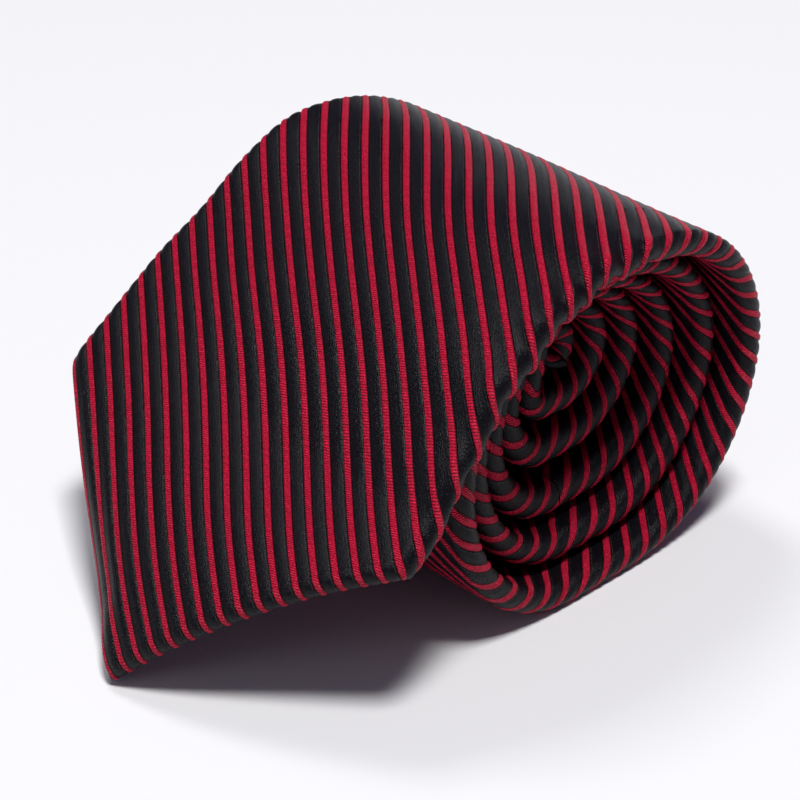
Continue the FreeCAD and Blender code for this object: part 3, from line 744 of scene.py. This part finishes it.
def striped_satin(cloth):
    """Black satin ribs with narrower red ribs between them, woven on the diagonal."""
    finish = Finish("striped_satin")
    m = finish.maths
    along, across = finish.cloth_place()
    period = mm(cloth.stripe) * math.sqrt(2)
    phase = m("DIVIDE", m("SUBTRACT", along, across), period)
    centred = m("SUBTRACT", m("FRACT", m("ADD", phase, 0.5 - cloth.red_share / 2)), 0.5)
    off = m("ABSOLUTE", centred)
    half_red = cloth.red_share / 2
    red_edge = m("SUBTRACT", off, half_red)
    is_red = finish.ramp(red_edge, 0.012, -0.012)
    groove = finish.ramp(m("ABSOLUTE", red_edge), 0.0, 0.05, 1.0, 0.0)
    down_rib = m("MULTIPLY", m("ADD", along, across), math.sqrt(0.5))
    over_rib = m("MULTIPLY", centred, mm(cloth.stripe))
    # Red: fine cords laid slantwise over the rib, each a little different. The colour is mixed between a
    # darker copy and a lit copy of the red by the cord pattern, a random tone for each cord, and painted
    # glints where the grain peaks.
    slant = m("ADD", m("MULTIPLY", down_rib, 1 / CORD_PITCH), m("MULTIPLY", over_rib, 1.2))
    cord = m("ABSOLUTE", m("SINE", m("MULTIPLY", slant, math.pi)))
    shade = finish.random(m("FLOOR", slant))
    at_grain = finish.vector(m("MULTIPLY", down_rib, 3.0), m("MULTIPLY", over_rib, 3.0), 7.0)
    grain = finish.noise(at_grain, 1.0, 2.0, 0.7)
    # Painted glints: where the grain noise peaks, the red is pushed towards its lit copy in pale pink
    # specks, standing in for light catching the cords.
    glint = finish.ramp(grain, 0.52, 0.64)
    red_tone_and_glint = m("ADD", m("MULTIPLY", cord, 0.3), m("MULTIPLY_ADD", shade, 0.2, m("MULTIPLY", glint, 0.75)))
    lit_red = tuple(min(1.0, part * 1.8 + more) for part, more in zip(cloth.red, (0.03, 0.012, 0.035)))
    deep_red = tuple(part * 0.5 for part in cloth.red)
    red = finish.mix(red_tone_and_glint, deep_red, lit_red)
    # Black: long fine floats down the rib, with pale flecks painted where they bind. The flecks are painted
    # sparkle, standing in for tiny glints off the satin.
    at_float = finish.vector(m("MULTIPLY", down_rib, 0.9), m("MULTIPLY", over_rib, 6.5))
    floats = finish.noise(at_float, 1.0, 3.0, 0.6)
    at_binding = finish.vector(m("MULTIPLY", down_rib, 2.6), m("MULTIPLY", over_rib, 2.8))
    binding = finish.noise(at_binding, 1.0, 2.0, 0.7)
    painted_sparkle = finish.ramp(binding, 0.60, 0.70)
    # pale is the grey of the painted sparkle.
    pale = tuple(part * 5 + 0.025 for part in cloth.black)
    mid = tuple(part * 1.5 for part in cloth.black)
    black = finish.mix(finish.ramp(floats, 0.35, 0.7), cloth.black, mid)
    black = finish.mix(m("MULTIPLY", painted_sparkle, 0.55), black, pale)
    # A painted highlight runs down the black beside each red rib, standing in for light on the black rib's
    # rounded side. The groove between the ribs is darkened with painted shade.
    painted_rib_highlight = finish.ramp(m("ABSOLUTE", m("ADD", centred, half_red + 0.075)), 0.0, 0.03, 1.0, 0.0)
    # The pale grey line here is painted highlight, dotted by the binding noise.
    black = finish.mix(m("MULTIPLY", painted_rib_highlight, finish.ramp(binding, 0.4, 0.62)), black, (0.045, 0.04, 0.042))
    colour_mix = finish.mix(is_red, black, red)
    # Painted shade: the grooves between the ribs are darkened towards near black, standing in for shade in
    # these recesses. The same groove mask also sinks the bump.
    colour_mix = finish.mix(m("MULTIPLY", groove, 0.72), colour_mix, (0.004, 0.002, 0.003))
    on_red = m("MULTIPLY", m("MULTIPLY_ADD", grain, 0.9, cord), is_red)
    on_black = m("MULTIPLY_ADD", floats, 0.5, m("MULTIPLY", binding, 0.9))
    fine = m("MULTIPLY_ADD", m("SUBTRACT", 1.0, is_red), on_black, on_red)
    finish.bump(m("SUBTRACT", fine, m("MULTIPLY", groove, 0.8)), 0.00018, 1.0)
    rough = m("MULTIPLY_ADD", is_red, 0.06, m("MULTIPLY_ADD", floats, 0.10, 0.28))
    return finish.surface(Base_Color=colour_mix, Roughness=rough, Specular_IOR_Level=0.13,
                          Sheen_Weight=0.003, Sheen_Roughness=0.4, Sheen_Tint=(0.75, 0.72, 0.78))


def plain_weave(name, base, pitch, rough, sheen, lustre):
    """A plain woven cloth: threads over and under at a pitch in millimetres."""
    finish = Finish(name)
    m = finish.maths
    along, across = finish.cloth_place()
    warp = m("SINE", m("MULTIPLY", along, math.pi / pitch))
    weft = m("SINE", m("MULTIPLY", across, math.pi / pitch))
    over = m("MULTIPLY", warp, weft)
    uneven = finish.noise(finish.vector(along, across), 1.7, 3.0)
    height = m("ADD", m("MULTIPLY", over, 0.5), m("MULTIPLY", uneven, 0.5))
    tone = finish.ramp(height, -0.3, 0.9)
    dark = tuple(part * 0.55 for part in base)
    light = tuple(min(1.0, part * 1.3 + 0.004) for part in base)
    finish.bump(height, 0.0001, 0.7)
    return finish.surface(Base_Color=finish.mix(tone, dark, light), Roughness=rough,
                          Sheen_Weight=sheen, Sheen_Roughness=0.4, Specular_IOR_Level=lustre)


def felted_wool(cloth):
    """Brushed interlining: matted fibres with a nap."""
    finish = Finish("felted_wool")
    m = finish.maths
    along, across = finish.cloth_place()
    fibres = finish.noise(finish.vector(m("MULTIPLY", along, 3.0), across), 1.3, 5.0, 0.7)
    mats = finish.noise(finish.vector(along, across), 0.5, 3.0)
    height = m("ADD", fibres, m("MULTIPLY", mats, 0.5))
    dark = tuple(part * 0.72 for part in cloth.wool)
    finish.bump(height, 0.0002, 0.8)
    return finish.surface(Base_Color=finish.mix(finish.ramp(height, 0.5, 0.95), dark, cloth.wool),
                          Roughness=0.95, Sheen_Weight=0.35, Sheen_Roughness=0.6)


def twisted_thread(cloth):
    """Sewing thread: a two-ply twist."""
    finish = Finish("twisted_thread")
    m = finish.maths
    along, around = finish.cloth_place()
    twist = m("SINE", m("ADD", m("MULTIPLY", along, 9.0), m("MULTIPLY", around, 14.0)))
    light = tuple(part * 4 + 0.01 for part in cloth.thread)
    finish.bump(twist, 0.00004, 0.8)
    return finish.surface(Base_Color=finish.mix(finish.ramp(twist, -0.6, 1.0), cloth.thread, light),
                          Roughness=0.42, Sheen_Weight=0.15, Sheen_Roughness=0.35)


def woven_ribbon(cloth):
    """The blank label's close satin ribbon, with a corded border."""
    finish = Finish("woven_ribbon")
    m = finish.maths
    along, across = finish.cloth_place()
    lines = m("SINE", m("MULTIPLY", along, math.pi / 0.16))
    uneven = finish.noise(finish.vector(m("MULTIPLY", along, 0.6), m("MULTIPLY", across, 5.0)), 1.0, 3.0)
    height = m("ADD", m("MULTIPLY", lines, 0.35), uneven)
    light = tuple(part * 2.4 for part in cloth.label)
    finish.bump(height, 0.00006, 0.7)
    return finish.surface(Base_Color=finish.mix(finish.ramp(height, 0.2, 0.9), cloth.label, light),
                          Roughness=0.36, Sheen_Weight=0.2, Sheen_Roughness=0.35)


# ---------------------------------------------------------------------------
# Helpers that the operators share.
# ---------------------------------------------------------------------------

HINGE_X = LIFT["pos_m"][0]
OVERLAP = 0.8                  # how far the rolled blade runs on under the flap's cloth, in millimetres
SEAM_GAP = 0.15                # gap in which a piecing seam lies, on each side
NECK_BEND = 5                  # the bend at whose start the blade meets the neck, counted from 0
NECK_STEPS = 3                 # how many arcs and runs of the tail's path are still the neck
HIDDEN_BEND = 2                # the bend from which the face of the roll is out of sight
FLAP_STEP = 10                 # lattice steps in one stripe repeat, on the flap
ROLL_STEP = 8                  # the same on the roll
TAIL_STEP = 5                  # the same on the tail
TAIL_HEM = 2.2                 # cloth turned over along the tail's point
ABOVE_APEX = 12                # the tail is folded evenly from this far above its apex
BLADE_WOOL = (0.65, 1.95)      # how deep the wool's two faces lie behind the blade's face
TAIL_WOOL = (0.5, 1.15)        # the same in the tail
WOOL_SHORT = 4.0               # how far the wool stops short of the core
TIPPING_TUCK = 1.3             # how far the tipping runs on under the hem and wings
BLADE_TIPPING, TAIL_TIPPING = 2.45, 1.3    # how deep the tipping lies behind the face


def rib_length(cloth):
    """Length along the tie in which the stripes repeat, in millimetres."""
    return mm(cloth.stripe) * math.sqrt(2)


def evenly(first, last, step):
    """Rows from one length to another, about a step apart."""
    return np.linspace(first, last, int((last - first) / step) + 1)


def settings():
    """The scene's settings and the tie worked out from them."""
    scene = bpy.context.scene
    return scene.tie_cut, scene.tie_cloth, RolledTie(scene.tie_cut, scene.tie_roll)


def on_roll(piece, nodes):
    """The piece stands for CAD nodes of the roll and rides on it."""
    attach(piece, "roll")
    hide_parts(*nodes)
    return piece


def on_flap(piece, nodes):
    """The piece stands for CAD nodes of the flap: its placement is baked into its mesh, and those nodes are
    hidden.
    """
    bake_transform(piece)
    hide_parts(*nodes)
    return piece


def seam_marks(tie):
    """Lengths at which the blade meets the neck, and the neck meets the tail."""
    return tie.marks[NECK_BEND], sum(tie.tail_steps[:NECK_STEPS])


def unfolded(half, edge, lip):
    """Width of a folded cloth laid flat, in millimetres."""
    return 2 * (2 * (half - edge) + math.pi * edge - lip + LIP_MARKS[-1])


def crest_at(tie):
    """Length along the blade at which the flap's cloth ends, just short of the roll's crest."""
    bend_x, radius = tie.bends[0][0], tie.bends[0][2]
    return tie.marks[0] + radius * math.asin((bend_x - mm(HINGE_X)) / radius)


# ---------------------------------------------------------------------------
# The operators: one for each piece or group of like pieces.
# ---------------------------------------------------------------------------


class TIE_OT_blade_end(bpy.types.Operator):
    """Make the blade's pointed end, from its point up over the crest of the roll"""

    bl_idname = "tie.blade_end"
    bl_label = "Blade end"

    def execute(self, context):
        cut, cloth, tie = settings()
        lip, crest = mm(cut.wing_gap) / 2, crest_at(tie)
        part = pointed_cloth(tie.on_blade, cloth, crest, tie.half_width, mm(cut.blade_edge),
                             mm(cut.point_edge), tie.blade_thick, mm(cut.hem), mm(cut.apex), lip,
                             rib_length(cloth) / FLAP_STEP)
        piece = make_piece("blade_end_cloth", [part], striped_satin(cloth))
        on_flap(piece, ["blade_shell_flap"])
        return {"FINISHED"}


class TIE_OT_rolled_blade(bpy.types.Operator):
    """Make the rolled part of the blade's shell, folded round both sides"""

    bl_idname = "tie.rolled_blade"
    bl_label = "Rolled blade"

    def execute(self, context):
        cut, cloth, tie = settings()
        step = rib_length(cloth) / ROLL_STEP
        lip, edge, thick = mm(cut.wing_gap) / 2, mm(cut.blade_edge), tie.blade_thick
        start, hidden, neck_from = crest_at(tie), tie.marks[HIDDEN_BEND], seam_marks(tie)[0]
        rows = np.linspace(start - OVERLAP, hidden, int((hidden - start) / step) + 1)
        steps = reach_steps(tie.half, edge, lip, step, step, 3.0)
        parts = [folded_cloth(tie.on_blade, cloth, rows, tie.half_width, edge, thick, lip, steps)]
        rows = np.linspace(hidden, neck_from - SEAM_GAP, int((neck_from - hidden) / step) + 1)
        steps = reach_steps(tie.half_width(hidden), edge, lip, 4.0, step, 4.0)
        parts.append(folded_cloth(tie.on_blade, cloth, rows, tie.half_width, edge, thick, lip, steps))
        piece = make_piece("rolled_blade_cloth", parts, striped_satin(cloth))
        on_roll(piece, ["blade_shell_roll"])
        ends = [unfolded(tie.half_width(s), edge, lip) for s in (start, neck_from)]
        return {"FINISHED"}


class TIE_OT_neck(bpy.types.Operator):
    """Make the neck piece, which carries on to the core and turns back as the tail"""

    bl_idname = "tie.neck"
    bl_label = "Neck"

    def execute(self, context):
        cut, cloth, tie = settings()
        step = rib_length(cloth) / ROLL_STEP
        lip, edge, tail_edge = mm(cut.wing_gap) / 2, mm(cut.blade_edge), mm(cut.tail_edge)
        neck_from, tail_from = seam_marks(tie)
        long, fold_long = tie.blade_path.length, tie.fold_path.length
        steps = reach_steps(tie.half_width(neck_from), edge, lip, 2.0, step, 3.0)
        parts = [folded_cloth(tie.on_blade, cloth, evenly(neck_from, long, step), tie.half_width, edge,
                              tie.blade_thick, lip, steps)]
        steps = reach_steps(tie.core_half, tail_edge, lip, 2.0, step, 3.0)
        parts.append(folded_cloth(tie.on_fold, cloth, np.linspace(0, fold_long, 14), tie.fold_half_width,
                                  tail_edge, tie.tail_thick, lip, steps, shift=long))
        steps = reach_steps(tie.tail_half, tail_edge, lip, 2.0, step, 3.0)
        parts.append(folded_cloth(tie.on_tail, cloth, evenly(0, tail_from, 1.05), tie.tail_half_width,
                                  tail_edge, tie.tail_thick, lip, steps, shift=long + fold_long))
        piece = make_piece("neck_cloth", parts, striped_satin(cloth))
        on_roll(piece, ["neck_shell"])
        ends = [unfolded(half, edge, lip) for half in (float(tie.half_width(neck_from)), tie.tail_half)]
        return {"FINISHED"}


class TIE_OT_tail(bpy.types.Operator):
    """Make the narrow tail's shell, wound between the turns, with its point"""

    bl_idname = "tie.tail"
    bl_label = "Tail"

    def execute(self, context):
        cut, cloth, tie = settings()
        step = rib_length(cloth) / TAIL_STEP
        lip, edge, thick = mm(cut.wing_gap) / 2, mm(cut.tail_edge), tie.tail_thick
        tail_from, tip = seam_marks(tie)[1], tie.tail_path.length
        end_from = tip - mm(cut.tail_apex) - ABOVE_APEX
        shift = tie.blade_path.length + tie.fold_path.length
        rows = np.linspace(tail_from + SEAM_GAP, end_from, int((end_from - tail_from) / step) + 1)
        steps = reach_steps(tie.tail_half, edge, lip, step, step, step)
        parts = [folded_cloth(tie.on_tail, cloth, rows, tie.tail_half_width, edge, thick, lip, steps,
                              shift=shift),
                 pointed_cloth(tie.from_tail_point, cloth, tip - end_from, tie.tail_half_width, edge, edge,
                               thick, TAIL_HEM, mm(cut.tail_apex), lip, step, shift=shift)]
        piece = make_piece("tail_cloth", parts, striped_satin(cloth))
        on_roll(piece, ["tail_shell"])
        return {"FINISHED"}


class TIE_OT_interlining(bpy.types.Operator):
    """Make the three lengths of wool interlining inside the shell"""

    bl_idname = "tie.interlining"
    bl_label = "Interlining"

    def execute(self, context):
        cut, cloth, tie = settings()
        wool = felted_wool(cloth)
        split, long = crest_at(tie), tie.blade_path.length
        margin = mm(cut.blade_edge)
        rows = np.linspace(margin * 1.6, split, 90)
        parts = slab(tie.on_blade, rows, tie.flap_half_width, margin, BLADE_WOOL, point=True)
        piece = make_piece("flap_wool", parts, wool)
        on_flap(piece, ["blade_interlining_flap"])
        rows = np.linspace(split, long - WOOL_SHORT, 520)
        parts = slab(tie.on_blade, rows, tie.half_width, margin, BLADE_WOOL)
        piece = make_piece("rolled_wool", parts, wool)
        on_roll(piece, ["interlining_roll"])
        ends = [2 * (float(tie.half_width(s)) - margin) for s in (split, long)]
        margin = mm(cut.tail_edge) + 0.4
        rows = np.linspace(margin * 1.6, tie.tail_path.length - 0.3, 300)
        parts = slab(tie.from_tail_point, rows, tie.tail_half_width, margin, TAIL_WOOL, columns=14,
                     point=True)
        piece = make_piece("tail_wool", parts, wool)
        on_roll(piece, ["tail_interlining"])
        return {"FINISHED"}


def tipping_part(place, half, hem, apex, level):
    """The lining cloth that fills the diamond behind a point, its edges under the hem and wings."""
    tuck = TIPPING_TUCK
    foot, wide = hem / ROOT_HALF - tuck, half - hem + tuck
    waist = hem / ROOT_HALF + half - hem
    rows = np.concatenate([np.linspace(foot, waist, 60), np.linspace(waist, apex + tuck, 50)[1:]])
    share = np.linspace(-1, 1, 81)
    low = wide * (rows - foot) / (waist - foot)
    high = wide * (apex + tuck - rows) / (apex + tuck - waist)
    s = rows[:, None] * np.ones(len(share))
    y = np.minimum(low, high)[:, None] * share[None, :]
    ripple = 0.09 * np.sin(s / 2.9 + y / 5.0) * np.cos(y / 4.3)
    points = place(s, level + ripple, y)
    return points, quads_of(*s.shape), np.stack([s, y], -1)


class TIE_OT_tipping(bpy.types.Operator):
    """Make the tipping cloth behind each of the two points"""

    bl_idname = "tie.tipping"
    bl_label = "Tipping"

    def execute(self, context):
        cut, cloth, tie = settings()
        lining = plain_weave("plain_lining", cloth.lining, 0.22, 0.34, 0.3, 0.5)
        part = tipping_part(tie.on_blade, tie.half, mm(cut.hem), mm(cut.apex), BLADE_TIPPING)
        piece = make_piece("blade_tipping_cloth", [part], lining)
        on_flap(piece, ["blade_tipping"])
        part = tipping_part(tie.from_tail_point, tie.tail_half, TAIL_HEM, mm(cut.tail_apex), TAIL_TIPPING)
        piece = make_piece("tail_tipping_cloth", [part], lining)
        on_roll(piece, ["tail_tipping"])
        return {"FINISHED"}


def slip_row(place, first, last, level, gap, pitch=12.0):
    """Slip stitches down the centre back: each a long slack strand with a short one back across the gap."""
    parts = []
    for number in range(int((last - first) / pitch)):
        at = first + pitch * number
        spots = place(np.array([at - 1.5, at + 1.5, at + 0.2]), np.array([level, level, level - 0.1]),
                      np.array([-gap / 2, gap / 2, gap / 2]))
        parts.append(strand(spots[0], spots[1], THREAD))
        parts.append(strand(spots[0], spots[2], THREAD))
    return parts


class TIE_OT_slip_stitches(bpy.types.Operator):
    """Make the slip stitches that hold the wings together down the centre back"""

    bl_idname = "tie.slip_stitches"
    bl_label = "Slip stitches"

    def execute(self, context):
        cut, cloth, tie = settings()
        thread = twisted_thread(cloth)
        gap = mm(cut.wing_gap) + 0.6
        parts = slip_row(tie.on_blade, tie.flap_long + 12, tie.marks[-4], tie.blade_thick + 0.05, gap)
        piece = make_piece("blade_slip_stitches", parts, thread)
        on_roll(piece, ["slip_stitch_thread"])
        first, last = seam_marks(tie)[1] + ABOVE_APEX, tie.tail_path.length - mm(cut.tail_apex) - ABOVE_APEX
        parts = slip_row(tie.on_tail, first, last, tie.tail_thick + 0.02, gap)
        piece = make_piece("tail_slip_stitches", parts, thread)
        on_roll(piece, ["tail_slip_stitch_thread"])
        return {"FINISHED"}


def seam_row(place, along, half, level, pitch=4.5):
    """Stitches along a piecing seam, each across the two butted edges."""
    parts = []
    count = int(2 * half / pitch)
    for number in range(count):
        y = (number - (count - 1) / 2) * pitch
        ends = place(np.array([along - 0.5, along + 0.5]), np.full(2, level), np.array([y - 1.2, y + 1.2]))
        parts.append(strand(ends[0], ends[1], THREAD))
    return parts


class TIE_OT_seams(bpy.types.Operator):
    """Make the thread of the two piecing seams"""

    bl_idname = "tie.seams"
    bl_label = "Piecing seams"

    def execute(self, context):
        cloth, tie = settings()[1:]
        thread = twisted_thread(cloth)
        neck_from, tail_from = seam_marks(tie)
        parts = seam_row(tie.on_blade, neck_from - 0.25, float(tie.half_width(neck_from)) - 3, -0.05)
        piece = make_piece("blade_neck_seam", parts, thread)
        on_roll(piece, ["blade_neck_seam_thread"])
        parts = seam_row(tie.on_tail, tail_from + 0.25, tie.tail_half - 3, -0.05)
        piece = make_piece("neck_tail_seam", parts, thread)
        on_roll(piece, ["neck_tail_seam_thread"])
        return {"FINISHED"}


class TIE_OT_tipping_stitches(bpy.types.Operator):
    """Make the stitches that hold the tipping to the blade's hem"""

    bl_idname = "tie.tipping_stitches"
    bl_label = "Tipping stitches"

    def execute(self, context):
        cut, cloth, tie = settings()
        parts = []
        hem = mm(cut.hem)
        count = int((tie.half - hem) / ROOT_HALF / 4.8)
        for side in (-1, 1):
            for number in range(1, count):
                share = number / count
                s = hem / ROOT_HALF + (tie.half - hem) * share
                y = side * (tie.half - hem) * share
                ends = tie.on_blade(np.array([s - 0.9, s + 1.1]), np.array([2.9, 2.55]) + 0.35,
                                    np.array([y + side * 0.2, y - side * 1.4]))
                parts.append(strand(ends[0], ends[1], STOUT_THREAD))
        piece = make_piece("tipping_hem_stitches", parts, twisted_thread(cloth))
        on_flap(piece, ["tipping_stitches"])
        return {"FINISHED"}


def tack(place, along, level, long):
    """A bar tack: six threads laid side by side across the centre back."""
    parts = []
    wide, threads = 1.4, 6
    for number in range(threads):
        at = along + ((number + 0.5) / threads - 0.5) * wide
        reach = long / 2 * (1 - 0.08 * (number % 2))
        ends = place(np.array([at, at]), np.array([level, level]), np.array([-reach, reach]))
        lift = place(np.array([at]), np.array([level + 0.25]), np.array([0.0]))[0]
        parts.append(strand(ends[0], ends[1], wide / threads * 0.55 * MM, bow=(lift - ends.mean(0)) * 0.6))
    return parts


class TIE_OT_bar_tacks(bpy.types.Operator):
    """Make the bar tack above each apex"""

    bl_idname = "tie.bar_tacks"
    bl_label = "Bar tacks"

    def execute(self, context):
        cut, cloth, tie = settings()
        thread = twisted_thread(cloth)
        at = (mm(cut.apex) + tie.flap_long) / 2
        parts = tack(tie.on_blade, at, tie.blade_thick + 0.2, 6)
        piece = make_piece("blade_bar_tack_thread", parts, thread)
        on_flap(piece, ["blade_bar_tack"])
        at = tie.tail_path.length - mm(cut.tail_apex) - 10
        parts = tack(tie.on_tail, at, tie.tail_thick + 0.1, 3)
        piece = make_piece("tail_bar_tack_thread", parts, thread)
        on_roll(piece, ["tail_bar_tack"])
        return {"FINISHED"}


def level_all_along(y):
    """The rise of a ribbon that lies flat."""
    return 0 * y


def ribbon(place, centre, wide, long, level, thick, border=0.0, arch=level_all_along):
    """The parts of a closed flat ribbon lying across the blade, its length across and its width along."""
    u = np.concatenate([np.linspace(-1, 1, 17), [1.0], np.linspace(1, -1, 17), [-1.0, -1.0]])
    lower = np.concatenate([np.zeros(17), [0.5], np.ones(17), [0.5, 0.0]])
    puff = np.concatenate([np.zeros(17), [1.0], np.zeros(17), [-1.0, 0.0]])
    v = np.linspace(-1, 1, 61)
    s = centre + (u * wide / 2 + puff * thick / 2)[None, :] * np.ones((len(v), 1))
    y = (v * long / 2)[:, None] * np.ones(len(u))
    rim = border * step_up(np.abs(u), 0.82, 0.95)[None, :]
    d = level + arch(y) + (thick * lower)[None, :] + rim * (2 * lower - 1)[None, :]
    return capped(place(s, d, y)[:, ::-1], np.stack([s, y], -1)[:, ::-1])


def short_stitch(tie, along, reach, level, across, radius):
    """A stitch along the blade, through a ribbon's end."""
    ends = tie.on_blade(np.array([along - reach, along + reach]), np.full(2, level), np.full(2, across))
    return strand(ends[0], ends[1], radius)


class TIE_OT_keeper_loop(bpy.types.Operator):
    """Make the keeper loop on the back of the blade, with its two sewn rows"""

    bl_idname = "tie.keeper_loop"
    bl_label = "Keeper loop"

    def execute(self, context):
        cloth, tie = settings()[1:]
        centre = tie.marks[1] - tie.runs[0] / 2
        wide, long = round(mm(LOOP_HIGH.x - LOOP_LOW.x), 2), mm(LOOP_HIGH.y - LOOP_LOW.y)

        def slack(y):
            """How far the loop stands off the blade between its two sewn ends."""
            return 0.75 * (1 - step_up(np.abs(y), long / 2 - 7, long / 2 - 2.5))

        part = ribbon(tie.on_blade, centre, wide, long, tie.blade_thick + 0.12, 0.7, 0.1, slack)
        piece = make_piece("keeper_loop_band", part, striped_satin(cloth))
        on_roll(piece, ["keeper_loop"])
        parts = []
        for side in (-1, 1):
            for number in range(5):
                s = centre + (number - 2) * 1.8
                y = side * (long / 2 - 1.3)
                parts.append(short_stitch(tie, s, 0.7, tie.blade_thick + 1.0, y, STOUT_THREAD))
        piece = make_piece("keeper_loop_sewing", parts, twisted_thread(cloth))
        on_roll(piece, ["keeper_loop_stitches"])
        return {"FINISHED"}


class TIE_OT_labels(bpy.types.Operator):
    """Make the blank label, the folded care tag and the rows that hold them"""

    bl_idname = "tie.labels"
    bl_label = "Labels"

    def execute(self, context):
        cloth, tie = settings()[1:]
        ribbon_cloth = woven_ribbon(cloth)
        centre = crest_at(tie) + 7.5
        wide, long = mm(LABEL_HIGH.x - LABEL_LOW.x), mm(LABEL_HIGH.y - LABEL_LOW.y)
        part = ribbon(tie.on_blade, centre, wide, long, tie.blade_thick + 0.15, 0.28, 0.06)
        piece = make_piece("blank_label_ribbon", part, ribbon_cloth)
        on_roll(piece, ["blank_label"])
        tag_wide, tag_long = mm(TAG_HIGH.x - TAG_LOW.x), mm(TAG_HIGH.y - TAG_LOW.y)
        level = tie.blade_thick + 0.55
        layers = [part for layer in (0, 1)
                  for part in ribbon(tie.on_blade, centre, tag_wide, tag_long, level + 0.3 * layer, 0.14)]
        piece = make_piece("care_tag_ribbon", layers, ribbon_cloth)
        on_roll(piece, ["care_tag"])
        parts = []
        for side in (-1, 1):
            for number in range(6):
                s = centre + (number - 2.5) * 1.8
                y = side * (long / 2 - 0.9)
                parts.append(short_stitch(tie, s, 0.6, tie.blade_thick + 0.5, y, FINE_THREAD))
        piece = make_piece("label_sewing", parts, twisted_thread(cloth))
        on_roll(piece, ["label_stitches"])
        return {"FINISHED"}


FLOOR_REACH = 6.0              # half of the floor's width, in metres
FLOOR_Z = -0.0003              # just under the roll's ribs


def place_camera(scene):
    """The camera that looks at the tie from its front left corner."""
    studio = scene.tie_studio
    flat = math.cos(studio.elevation)
    back = Vector((math.sin(studio.azimuth) * flat, -math.cos(studio.azimuth) * flat,
                   math.sin(studio.elevation)))
    data = bpy.data.cameras.new("camera")
    data.lens = studio.lens
    camera = bpy.data.objects.new("camera", data)
    scene.collection.objects.link(camera)
    camera.location = Vector(studio.target) + back * studio.distance
    camera.rotation_mode = "QUATERNION"
    camera.rotation_quaternion = (-back).to_track_quat("-Z", "Y")
    scene.camera = camera


def lamp(name, place, size, power, tint):
    """A square soft lamp that faces the roll."""
    data = bpy.data.lights.new(name, "AREA")
    data.size = size
    data.energy = power
    data.color = tint
    obj = bpy.data.objects.new(name, data)
    bpy.context.scene.collection.objects.link(obj)
    obj.location = place
    obj.rotation_mode = "QUATERNION"
    obj.rotation_quaternion = (Vector((0, 0, 0.03)) - Vector(place)).to_track_quat("-Z", "Y")


def surroundings(scene):
    """The world: dim and cool as light, and pale where the camera sees it past the floor."""
    world = bpy.data.worlds.new("surroundings")
    scene.world = world
    world.use_nodes = True
    nodes, links = world.node_tree.nodes, world.node_tree.links
    shade = nodes["Background"]
    shade.inputs["Color"].default_value = (0.66, 0.66, 1.0, 1)
    shade.inputs["Strength"].default_value = 0.11
    backdrop = nodes.new("ShaderNodeBackground")
    backdrop.inputs["Color"].default_value = (0.86, 0.86, 0.88, 1)
    seen, choice = nodes.new("ShaderNodeLightPath"), nodes.new("ShaderNodeMixShader")
    links.new(seen.outputs["Is Camera Ray"], choice.inputs[0])
    links.new(shade.outputs[0], choice.inputs[1])
    links.new(backdrop.outputs[0], choice.inputs[2])
    links.new(choice.outputs[0], nodes["World Output"].inputs["Surface"])


class TIE_OT_stage(bpy.types.Operator):
    """Make the pale floor, the soft lamps, the pale surroundings and the camera"""

    bl_idname = "tie.stage"
    bl_label = "Stage"

    def execute(self, context):
        scene = context.scene
        points = np.array([[(x, y, FLOOR_Z) for x in (-FLOOR_REACH, FLOOR_REACH)]
                           for y in (-FLOOR_REACH, FLOOR_REACH)])
        finish = Finish("pale_floor")
        finish.surface(Base_Color=scene.tie_studio.floor, Roughness=0.85, Specular_IOR_Level=0.1)
        part = points, quads_of(2, 2)[:, ::-1], points[..., :2] / MM
        floor = make_piece("floor", [part], finish.material)
        lamp("key_lamp", (-0.24, -0.48, 2.0), 0.36, 37.0, (1.0, 0.995, 0.985))
        lamp("back_lamp", (0.20, 0.78, 1.9), 0.55, 11.0, (1.0, 0.99, 0.98))
        lamp("fill_lamp", (-1.7, -0.20, 1.3), 0.9, 2.0, (0.97, 0.98, 1.0))
        surroundings(scene)
        place_camera(scene)
        scene.view_settings.view_transform = "Standard"
        return {"FINISHED"}


class TIE_PT_panel(bpy.types.Panel):
    """The necktie's operators and settings"""

    bl_idname = "TIE_PT_panel"
    bl_label = "Necktie"
    bl_space_type = "VIEW_3D"
    bl_region_type = "UI"
    bl_category = "Necktie"

    def draw(self, context):
        for group in ("tie_cut", "tie_roll", "tie_cloth", "tie_studio"):
            settings_of = getattr(context.scene, group)
            for name in settings_of.__annotations__:
                self.layout.prop(settings_of, name)
        for operator in OPERATORS:
            self.layout.operator(operator.bl_idname)


GROUPS = {"tie_cut": TieCut, "tie_roll": TieRoll, "tie_cloth": TieCloth, "tie_studio": TieStudio}
OPERATORS = [TIE_OT_neck, TIE_OT_tail, TIE_OT_rolled_blade, TIE_OT_blade_end, TIE_OT_interlining,
             TIE_OT_tipping, TIE_OT_slip_stitches, TIE_OT_seams, TIE_OT_tipping_stitches, TIE_OT_bar_tacks,
             TIE_OT_keeper_loop, TIE_OT_labels, TIE_OT_stage]


def register():
    for name, group in GROUPS.items():
        bpy.utils.register_class(group)
        setattr(bpy.types.Scene, name, bpy.props.PointerProperty(type=group))
    for operator in OPERATORS:
        bpy.utils.register_class(operator)
    bpy.utils.register_class(TIE_PT_panel)


def unregister():
    bpy.utils.unregister_class(TIE_PT_panel)
    for operator in reversed(OPERATORS):
        bpy.utils.unregister_class(operator)
    for name, group in GROUPS.items():
        delattr(bpy.types.Scene, name)
        bpy.utils.unregister_class(group)


def main():
    """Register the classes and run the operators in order."""
    register()
    for operator in OPERATORS:
        group, name = operator.bl_idname.split(".")
        getattr(getattr(bpy.ops, group), name)()


if __name__ == "__main__":
    main()
